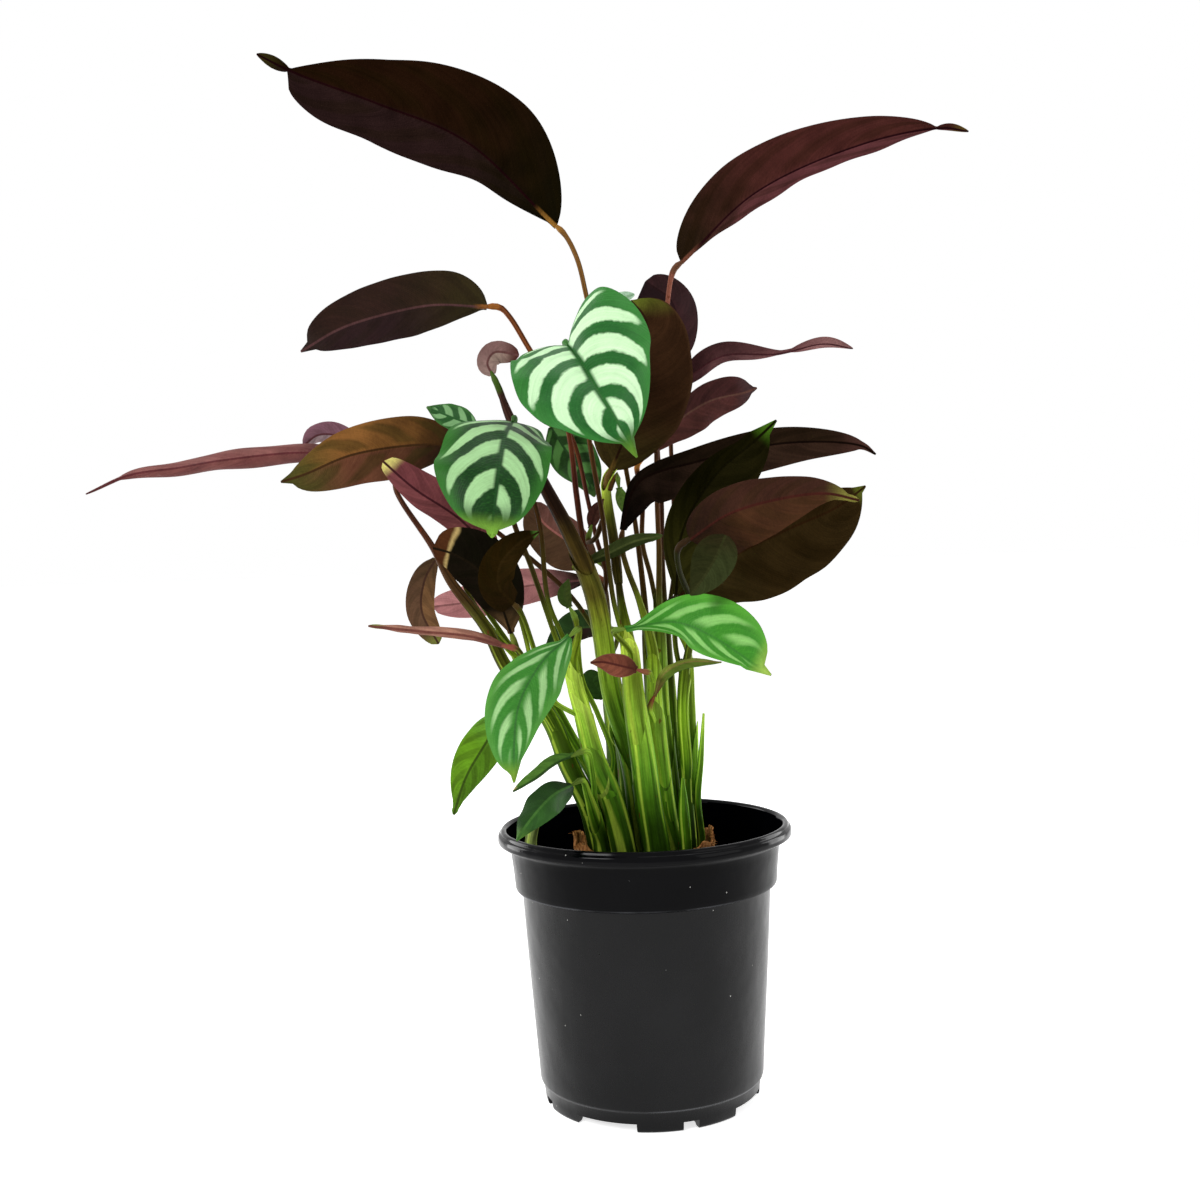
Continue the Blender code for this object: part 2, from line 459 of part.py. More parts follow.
def make_plug(collection):
    """Thin coir sleeve round the clump: open at both ends, with an uneven torn top edge."""
    rings = ((PLUG_TOP_RADIUS, PLUG_TOP), (plug_radius(MIX_LEVEL), MIX_LEVEL),
             (PLUG_FOOT_RADIUS, PLUG_BOTTOM))
    shape = bmesh.new()
    rows = []
    for radius, height in rings:
        middle = radius - PLUG_WALL / 2
        row = []
        for index in range(PLUG_STEPS):
            turn = 2 * math.pi * index / PLUG_STEPS
            spot = Vector((middle * math.cos(turn), middle * math.sin(turn), height))
            if height == PLUG_TOP:
                slow, fast = TORN_WAVES
                spot.z += TORN_HEIGHT * (math.cos(slow * turn) + TORN_RIPPLE * math.sin(fast * turn)
                                         - TORN_DROP)
            row.append(shape.verts.new(spot * MM))
        rows.append(row)
    for upper, lower in zip(rows, rows[1:]):
        for index in range(PLUG_STEPS):
            after = (index + 1) % PLUG_STEPS
            shape.faces.new((upper[index], lower[index], lower[after], upper[after]))
    mesh = bpy.data.meshes.new("fibre_plug")
    shape.to_mesh(mesh)
    shape.free()
    plug = add_object("fibre_plug", mesh, collection, FIBRE)
    wall = plug.modifiers.new("wall", "SOLIDIFY")
    wall.thickness = PLUG_WALL * MM
    wall.offset = 0
    return plug


def make_crown(collection):
    """Rhizome crown, the buried base that every shoot grows from."""
    profile = [(0, CROWN_TOP), (CROWN_RADIUS, CROWN_TOP), (CROWN_RADIUS, CROWN_TOP - CROWN_RIM),
               (CROWN_RADIUS - CROWN_TAPER, CROWN_BOTTOM), (0, CROWN_BOTTOM)]
    return turned("rhizome_crown", profile, collection, CROWN, CROWN_STEPS)


# ---------------------------------------------------------------- curves

def curve_through(points, shares):
    """Smooth curve through the points, read at shares (0 to 1) of its own parameter."""
    spots = np.array(points, float)
    steps = np.sqrt(np.linalg.norm(np.diff(spots[:, :3], axis=0), axis=1))
    knots = np.concatenate([[0], np.cumsum(steps)])
    knots /= knots[-1]
    slopes = np.diff(spots, axis=0) / np.diff(knots)[:, None]
    tangents = np.empty_like(spots)
    tangents[0], tangents[-1] = slopes[0], slopes[-1]
    before, after = np.diff(knots)[:-1, None], np.diff(knots)[1:, None]
    tangents[1:-1] = (slopes[:-1] * after + slopes[1:] * before) / (before + after)
    span = np.clip(np.searchsorted(knots, shares, side="right") - 1, 0, len(spots) - 2)
    width = (knots[span + 1] - knots[span])[:, None]
    u = (np.asarray(shares)[:, None] - knots[span][:, None]) / width
    return ((2 * u**3 - 3 * u**2 + 1) * spots[span] + (u**3 - 2 * u**2 + u) * width * tangents[span]
            + (3 * u**2 - 2 * u**3) * spots[span + 1] + (u**3 - u**2) * width * tangents[span + 1])


def even_curve(points, count):
    """The same curve, read at count places spaced evenly along its length."""
    fine = curve_through(points, np.linspace(0, 1, CURVE_SAMPLES))
    travelled = np.concatenate([[0], np.cumsum(np.linalg.norm(np.diff(fine[:, :3], axis=0), axis=1))])
    wanted = np.linspace(0, travelled[-1], count)
    return np.stack([np.interp(wanted, travelled, fine[:, axis]) for axis in range(fine.shape[1])], 1)


def unit(vectors):
    return vectors / np.linalg.norm(vectors, axis=-1, keepdims=True)


# ---------------------------------------------------------------- leaves

def blade_points(leaf, rows, columns):
    """Grid of points over a blade, base to tip and left margin to right margin."""
    _, rib_points, left, right, face, drip = leaf
    share = np.linspace(0, 1, rows + 1)
    rib = even_curve(rib_points, rows + 1)
    along = unit(np.gradient(rib, axis=0))
    front = np.array([0.0, -1.0, 0.0])
    facing = unit(front - along * (along @ front)[:, None])
    turn = np.radians(face[0] + (face[1] - face[0]) * share)[:, None]
    normal = np.cos(turn) * facing + np.sin(turn) * np.cross(along, facing)
    across = np.cross(along, normal)
    bands = []
    for side, (width, peak, base, tip, fold, curl) in ((-1, left), (1, right)):
        body = np.clip(share / (1 - drip), 0, 1)
        rising = np.sin(math.pi / 2 * np.clip(body / peak, 0, 1)) ** base
        falling = np.sin(math.pi / 2 * np.clip((1 - body) / (1 - peak), 0, 1)) ** tip
        outline = width * np.where(body < peak, rising, falling)
        reach = np.maximum(outline, BASE_HALF_WIDTH * (1 - share) + TIP_HALF_WIDTH * share)[:, None]
        folds = fold if isinstance(fold, tuple) else (fold, fold)
        fold_here = np.radians(folds[0] + (folds[1] - folds[0]) * share)[:, None]
        spot = rib.copy()
        arc = [spot]
        for step in range(ARC_STEPS):
            lean = fold_here + math.radians(curl) * (step + 0.5) / ARC_STEPS
            spot = spot + reach / ARC_STEPS * (side * np.cos(lean) * across + np.sin(lean) * normal)
            arc.append(spot)
        stride = ARC_STEPS * 2 // columns
        bands.append(arc[::stride])
    return np.stack(bands[0][::-1] + bands[1][1:], 1)


def make_leaf(name, leaf, collection):
    """One blade: a grid bent to its curve and given its thickness."""
    small = leaf[2][0] + leaf[3][0] < 2 * SMALL_WIDTH
    rows, columns = (SMALL_ROWS, SMALL_COLUMNS) if small else (BLADE_ROWS, BLADE_COLUMNS)
    points = blade_points(leaf, rows, columns)
    shape = bmesh.new()
    bmesh.ops.create_grid(shape, x_segments=columns, y_segments=rows, size=1)
    for vertex in shape.verts:
        column = round((vertex.co.x + 1) / 2 * columns)
        row = round((vertex.co.y + 1) / 2 * rows)
        vertex.co = Vector(points[row, column]) * MM
    mesh = bpy.data.meshes.new(name)
    shape.to_mesh(mesh)
    shape.free()
    thing = add_object(name, mesh, collection, leaf[0])
    thickness = thing.modifiers.new("thickness", "SOLIDIFY")
    thickness.thickness = BLADE_THICKNESS * MM
    thickness.offset = 0
    return thing


# ---------------------------------------------------------------- shoots

def end_at_leaf(points, leaf_name):
    """Finish a stalk with the straight joint that carries its leaf, just short of the blade."""
    rib = even_curve(LEAVES[leaf_name][1], BLADE_ROWS + 1)
    along = unit(rib[1] - rib[0])
    joint = [tuple(rib[0] - along * short) + (PETIOLE_RADIUS,) for short in (PULVINUS, LEAF_GAP)]
    return points + joint


def tube(name, points, roundness, collection):
    """A tapering stalk through (x, y, z, radius) points, as a closed mesh."""
    length = sum(math.dist(a[:3], b[:3]) for a, b in zip(points, points[1:]))
    count = max(FEWEST_SPANS, round(length / STALK_SPACING) + 2)
    line = even_curve(points[:-1], count)
    line = np.vstack([line, points[-1]])
    data = bpy.data.curves.new(name, "CURVE")
    data.dimensions = "3D"
    data.bevel_depth = MM
    data.bevel_resolution = roundness
    data.use_fill_caps = True
    spline = data.splines.new("POLY")
    spline.points.add(len(line) - 1)
    for point, (x, y, z, radius) in zip(spline.points, line):
        point.co = (x * MM, y * MM, z * MM, 1)
        point.radius = radius
    curve = bpy.data.objects.new(name + "_line", data)
    collection.objects.link(curve)
    evaluated = curve.evaluated_get(bpy.context.evaluated_depsgraph_get())
    mesh = bpy.data.meshes.new_from_object(evaluated)
    weld = bmesh.new()
    weld.from_mesh(mesh)
    bmesh.ops.remove_doubles(weld, verts=weld.verts, dist=WELD / 5)
    weld.to_mesh(mesh)
    weld.free()
    mesh.name = name
    thing = add_object(name, mesh, collection, SHEATH)
    thing.matrix_world = curve.matrix_world
    bpy.data.objects.remove(curve)
    return thing


def make_shoot(name, shoot, collection, cutters):
    """A sheathed stalk and the petioles that branch off it, joined into one piece."""
    main, leaf_name, branches = shoot
    stalk = tube(name, end_at_leaf(main, leaf_name), STALK_ROUNDNESS, collection)
    for index, (route, branch_leaf) in enumerate(branches):
        points = [point + (PETIOLE_RADIUS,) for point in route]
        whole = end_at_leaf(points, branch_leaf)
        branch = tube(f"{name}_petiole_{index}", whole, PETIOLE_ROUNDNESS, cutters)
        branch.hide_render = True
        branch.display_type = "WIRE"
        join = stalk.modifiers.new(f"petiole_{index}", "BOOLEAN")
        join.operation = "UNION"
        join.solver = "EXACT"
        join.object = branch
    return stalk


def main():
    clear_scene()
    part = new_collection("potted_ctenanthe")
    cutters = new_collection("cutters")
    make_pot(part, cutters)
    make_mix(part)
    make_plug(part)
    make_crown(part)
    for name, shoot in SHOOTS.items():
        make_shoot(name, shoot, part, cutters)
    for name, points in SPEARS.items():
        tube(name, points, PETIOLE_ROUNDNESS, part)
    for name, leaf in LEAVES.items():
        make_leaf(name, leaf, part)


main()
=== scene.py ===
"""Looks of the potted ctenanthe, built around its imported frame.

Tables and constants are in millimetres and repeat the part's own.  Leaves and stalks follow the
curves of the solids on a much finer grid.  A leaf is a closed blade with veins, a rib and a wavy
margin, and its materials read two maps: "share" (base to tip, left margin to right margin, from 0
to 1) and "metric" (along the blade and out from its rib, in millimetres).  A stalk's material reads
"ring" (a unit circle round it), "metric" (the angle round it, and millimetres along it) and
"joint" (how much it takes the colour of the joint under its leaf, and the tint of that tube).
"""

import math
import random
from typing import NamedTuple

import bmesh
import bpy
import numpy as np
from mathutils import Matrix, Vector


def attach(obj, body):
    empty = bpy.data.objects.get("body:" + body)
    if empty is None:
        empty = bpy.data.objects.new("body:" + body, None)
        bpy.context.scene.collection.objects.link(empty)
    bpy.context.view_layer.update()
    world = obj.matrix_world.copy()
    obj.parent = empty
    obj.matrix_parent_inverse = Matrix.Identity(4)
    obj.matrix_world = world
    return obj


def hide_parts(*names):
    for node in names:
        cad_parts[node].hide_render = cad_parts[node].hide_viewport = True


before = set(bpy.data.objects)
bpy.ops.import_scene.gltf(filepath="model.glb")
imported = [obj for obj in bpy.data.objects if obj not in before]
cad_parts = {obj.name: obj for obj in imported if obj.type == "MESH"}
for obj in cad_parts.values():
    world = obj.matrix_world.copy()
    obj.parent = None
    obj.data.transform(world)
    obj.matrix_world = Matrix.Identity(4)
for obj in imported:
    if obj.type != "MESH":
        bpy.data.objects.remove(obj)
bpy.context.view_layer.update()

MM = 0.001
TURN = 2 * math.pi

# ---------------------------------------------------------------- materials


def linear(colour):
    """A screen colour (0 to 255) as the linear one that shaders take.  A socket stays as it is."""
    if isinstance(colour, bpy.types.NodeSocket):
        return colour
    shares = [value / 255 for value in colour]
    return (*(share / 12.92 if share <= 0.04045 else ((share + 0.055) / 1.055) ** 2.4
              for share in shares), 1.0)


def arithmetic(operation):
    """A method that adds a Math node with this operation."""
    return lambda signal, other: signal.paint.math(operation, signal, other)


class Signal:
    """A number that runs through a material's nodes.  Arithmetic on it adds Math nodes."""

    __add__ = arithmetic("ADD")
    __sub__ = arithmetic("SUBTRACT")
    __mul__ = arithmetic("MULTIPLY")
    power = arithmetic("POWER")

    def __init__(self, paint, socket):
        self.paint, self.socket = paint, socket

    def size(self):
        return self.paint.math("ABSOLUTE", self)

    def wave(self, cycles, offset=0.0):
        """Sine of the signal, with so many cycles for each unit."""
        return self.paint.math("SINE", self * (TURN * cycles) + offset)

    def between(self, low, high):
        """0 below low, 1 above high, and smooth between.  It falls where low is above high."""
        return Signal(self.paint, self.paint.add(
            "ShaderNodeMapRange", {"Value": self, "From Min": low, "From Max": high},
            interpolation_type="SMOOTHSTEP").outputs["Result"])


class Paint:
    """A procedural material, made with plain calls.  A world can be painted too."""

    def __init__(self, name, world=None):
        self.owner = world or bpy.data.materials.new(name)
        self.owner.use_nodes = True
        self.tree = self.owner.node_tree
        self.shader = self.tree.nodes["Background" if world else "Principled BSDF"]

    def add(self, kind, inputs=None, **settings):
        """A node, with its settings made and its inputs fed."""
        node = self.tree.nodes.new(kind)
        for key, value in settings.items():
            setattr(node, key, value)
        self.feed(node, inputs or {})
        return node

    def feed(self, node, inputs):
        """Link each input of a node to a signal or socket, or set it to a value."""
        for key, value in inputs.items():
            value = value.socket if isinstance(value, Signal) else value
            if isinstance(value, bpy.types.NodeSocket):
                self.tree.links.new(value, node.inputs[key])
            else:
                node.inputs[key].default_value = value

    def math(self, operation, *values):
        """The signal that comes out of a Math node."""
        node = self.add("ShaderNodeMath", dict(enumerate(values)), operation=operation)
        return Signal(self, node.outputs[0])

    def mix(self, factor, first, second):
        """From the first colour at 0 to the second at 1."""
        return self.add("ShaderNodeMix", {0: factor, 6: linear(first), 7: linear(second)},
                        data_type="RGBA").outputs[2]

    def dim(self, colour, factor):
        """The colour times a number."""
        grey = self.add("ShaderNodeCombineColor", {0: factor, 1: factor, 2: factor}).outputs[0]
        return self.add("ShaderNodeMix", {0: 1.0, 6: colour, 7: grey}, data_type="RGBA",
                        blend_type="MULTIPLY").outputs[2]

    def join(self, *values):
        """A vector from its components."""
        return self.add("ShaderNodeCombineXYZ", dict(enumerate(values))).outputs[0]

    def split(self, vector, kind="ShaderNodeSeparateXYZ"):
        """The components of a vector, as signals."""
        return [Signal(self, socket) for socket in self.add(kind, {0: vector}).outputs]

    def map(self, name):
        """The two directions of one of the piece's maps, as signals, and the map itself."""
        vector = self.add("ShaderNodeUVMap", uv_map=name).outputs[0]
        return *self.split(vector)[:2], vector

    def place(self):
        """Where the surface is, in millimetres: the vector, and its height as a signal."""
        spot = self.add("ShaderNodeTexCoord").outputs["Object"]
        scaled = self.add("ShaderNodeVectorMath", {0: spot, "Scale": 1 / MM}, operation="SCALE")
        return scaled.outputs[0], self.split(scaled.outputs[0])[2]

    def stretch(self, vector, x, y, z=1.0):
        return self.add("ShaderNodeVectorMath", {0: vector, 1: (x, y, z)},
                        operation="MULTIPLY").outputs[0]

    def noise(self, vector, scale, detail=3.0, roughness=0.5):
        """Noise from 0 to 1, with features of about 1 / scale of the vector's unit."""
        inputs = {"Vector": vector, "Scale": scale, "Detail": detail, "Roughness": roughness}
        return Signal(self, self.add("ShaderNodeTexNoise", inputs).outputs[0])

    def ramp(self, factor, stops):
        """Colour ramp through (place, screen colour) stops, with places from 0 to 1."""
        node = self.add("ShaderNodeValToRGB", {0: factor})
        elements = node.color_ramp.elements
        for element, (place, colour) in zip(elements, (stops[0], stops[-1])):
            element.position, element.color = place, linear(colour)
        for place, colour in stops[1:-1]:
            elements.new(place).color = linear(colour)
        return node.outputs[0]

    def bump(self, height, depth):
        """Fine relief: a height signal, and its depth in millimetres for each unit."""
        node = self.add("ShaderNodeBump", {"Strength": 1.0, "Distance": depth * MM, "Height": height})
        self.feed(self.shader, {"Normal": node.outputs[0]})

    def finish(self, colour, roughness, gloss=0.05):
        """Set the surface, and give the material."""
        self.feed(self.shader, {"Base Color": linear(colour), "Roughness": roughness,
                                "Specular IOR Level": gloss})
        return self.owner


# ---------------------------------------------------------------- leaf materials

LATERALS = 46                   # side veins from base to tip
LEAN, LEAN_POWER = 0.22, 1.6    # how far they arch to the tip, as a share of the length
STREAKS = 38                    # uneven streaks from base to tip
LEAF_RELIEF = 0.09
BAND_SHIFT = 2.4                # radians by which the bands of the two halves are out of step
HALO_WIDTH = 0.03               # pale rim of a burnt tip, as a share of the length


def blade_signals(paint, lean):
    """Along the blade, across it, out from the middle, out from the rib in millimetres, the metric
    map, and the side veins: a number that is the same all along each, as they arch to the tip."""
    along, cross, _ = paint.map("share")
    _, reach, metric = paint.map("metric")
    across = (cross - 0.5).size() * 2
    return along, cross, across, reach.size(), metric, along - across.power(LEAN_POWER) * lean


def vein_streaks(paint, veins, cross):
    """Uneven light and dark that runs along the side veins."""
    return paint.noise(paint.join(veins * STREAKS, cross * 2.6), 1.0, 4.0, 0.6) - 0.5


def striped_face(name, light, dark, margin, tip, rib, bands=4.6, lean=LEAN, contrast=1.0, soft=0.0,
                 threshold=-0.1, inner=(0.02, 0.09), outer=None):
    """Upper side: pale bands between dark ones that run out from the rib, and a dark margin."""
    paint = Paint(name)
    along, cross, across, reach, metric, veins = blade_signals(paint, lean)
    hand = cross.between(0.499, 0.501)
    wobble = (paint.noise(metric, 0.10) - 0.5) * 0.05 + (paint.noise(metric, 0.5, 4.0) - 0.5) * 0.022
    wave = (veins + wobble).wave(bands, hand * BAND_SHIFT)
    # The pale bands close up towards the margin and the tip.
    closing = across.power(6.0) * 1.9 + threshold + along.between(0.62, 1.0) * 0.5
    band = (wave - closing).between(-0.16 - soft, 0.24 + soft)
    band = band * across.between(*inner) * along.between(0.01, 0.06) * along.between(0.93, 0.80)
    if outer:
        band = band * across.between(*outer)
    fine = veins.wave(LATERALS) * 0.5 + 0.5
    fleck = paint.noise(paint.stretch(metric, 1.0, 0.35), 1.6, 4.0)
    mottle = fleck * 0.5 + paint.noise(metric, 0.12) * 0.5
    pale = paint.mix(fine * 0.3 + across.between(0.5, 1.0) * 0.35, light, paint.mix(0.35, light, margin))
    deep = paint.mix(across.between(0.60, 0.97), dark, margin)
    deep = paint.mix(fleck.between(0.45, 0.75) * 0.35, deep, margin)
    colour = paint.mix(band * contrast, deep, pale)
    colour = paint.mix(along.between(0.86, 0.99), colour, tip)
    colour = paint.mix(reach.between(0.62, 0.25) * along.between(0.97, 0.80), colour, rib)
    streaks = vein_streaks(paint, veins, cross)
    colour = paint.dim(colour, mottle * 0.5 + fine * 0.06 + streaks * 0.7 + 0.73)
    paint.bump(fine * 0.5 + fleck * 0.8, LEAF_RELIEF)
    return paint.finish(colour, mottle * 0.25 + 0.30, gloss=0.08)


def plain_face(name, left, right, shade, rib, base=None, tip=None, edge=None, halo=None, root=None,
               bands=0.3, count=5.0, lean=LEAN, from_base=0.45, to_tip=0.80, gloss=0.02):
    """A side of one colour for each half, which changes towards the base and the tip, with faint
    feather bands, fine side veins and mottling."""
    paint = Paint(name)
    along, cross, across, reach, metric, veins = blade_signals(paint, lean)
    hand = cross.between(0.46, 0.54)
    wobble = paint.noise(metric, 0.09) - 0.5
    wave = (veins + wobble * 0.07).wave(count, hand * BAND_SHIFT)
    band = wave.between(-0.3, 0.7) * across.between(0.04, 0.2) * across.between(1.0, 0.8)
    fine = veins.wave(LATERALS * 1.6) * 0.5 + 0.5
    cloud = paint.noise(metric, 0.06, 3.0)
    fleck = paint.noise(paint.stretch(metric, 1.0, 0.4), 1.3, 4.0, 0.6)
    shift = (cloud - 0.5) * 0.25
    far = along + shift * 0.4
    colour = paint.mix(hand, left, right)
    if base:
        colour = paint.mix((along + shift).between(from_base, 0.0), colour, base)
    colour = paint.mix(band * bands, colour, shade)
    if halo:
        colour = paint.mix(far.between(to_tip - HALO_WIDTH, to_tip), colour, halo)
    if tip:
        colour = paint.mix(far.between(to_tip, to_tip + HALO_WIDTH if halo else 0.98), colour, tip)
    if edge:
        colour = paint.mix(across.between(0.90, 0.99), colour, edge)
    colour = paint.mix(reach.between(0.70, 0.25), colour, rib)
    if root:
        colour = paint.mix(reach.between(1.3, 0.6) * along.between(0.08, 0.02), colour, root)
    streaks = vein_streaks(paint, veins, cross)
    colour = paint.dim(colour, cloud * 0.9 + fleck * 0.6 + fine * 0.1 + streaks * 0.9 + 0.20)
    paint.bump(fine * 0.5 + fleck * 0.9, LEAF_RELIEF)
    return paint.finish(colour, fleck * 0.25 + 0.44 - 0.12, gloss=gloss)


def striped(*colours, **more):
    """A striped side: its light, dark, margin, tip and rib colours."""
    return striped_face, colours, more


def plain(*colours, **more):
    """A plain side: the colours of its left and right halves, of its faint bands and of its rib."""
    return plain_face, colours, more


# What the species has on the side that doesn't face the front: a purple underside behind a striped
# top, and a striped top behind a purple side.
PLUM = plain((58, 30, 30), (58, 30, 30), (40, 26, 16), (40, 16, 18))
STRIPED_TOP = striped((120, 175, 110), (36, 78, 36), (58, 112, 48), (90, 130, 50), (40, 90, 40))


# ---------------------------------------------------------------- the leaves, in millimetres

# Colours of the joint under a leaf, and the usual joint: its length and colour.
OCHRE, ROSE, GREEN_JOINT, BROWN_JOINT = (140, 98, 42), (150, 84, 68), (104, 130, 50), (92, 62, 34)
USUAL_JOINT = (5, GREEN_JOINT)


def half(width, peak=0.42, base=0.6, tip=0.85, fold=8, curl=0):
    """Half blade: width in mm, widest place along it, roundness of its two ends, and degrees of
    fold at the midrib (one value, or base and tip) and of curl towards its margin."""
    return width, peak, base, tip, fold, curl


def both(*shape):
    """Two halves of one shape."""
    return half(*shape), half(*shape)


class Leaf(NamedTuple):
    """A leaf: midrib points, its two halves, degrees of turn of the face at base and tip (turned 0,
    its top looks to the front, -Y), the share of the length that is a thin drip tip, and the side
    that faces the front.  The neck is the half width of the drip tip where it starts, and how much
    wider it is half way.  A leaf without a node of its own names the node that carries it."""
    midrib: list
    left: tuple
    right: tuple
    turn: tuple
    drip: float
    face: tuple
    neck: tuple = (1.6, 0.4)
    joint: tuple = USUAL_JOINT
    slot: str = "leaf_purple"
    node: str = None

    def faces_front(self):
        """Whether its top is the side that the camera sees."""
        return abs(self.turn[0]) < 90


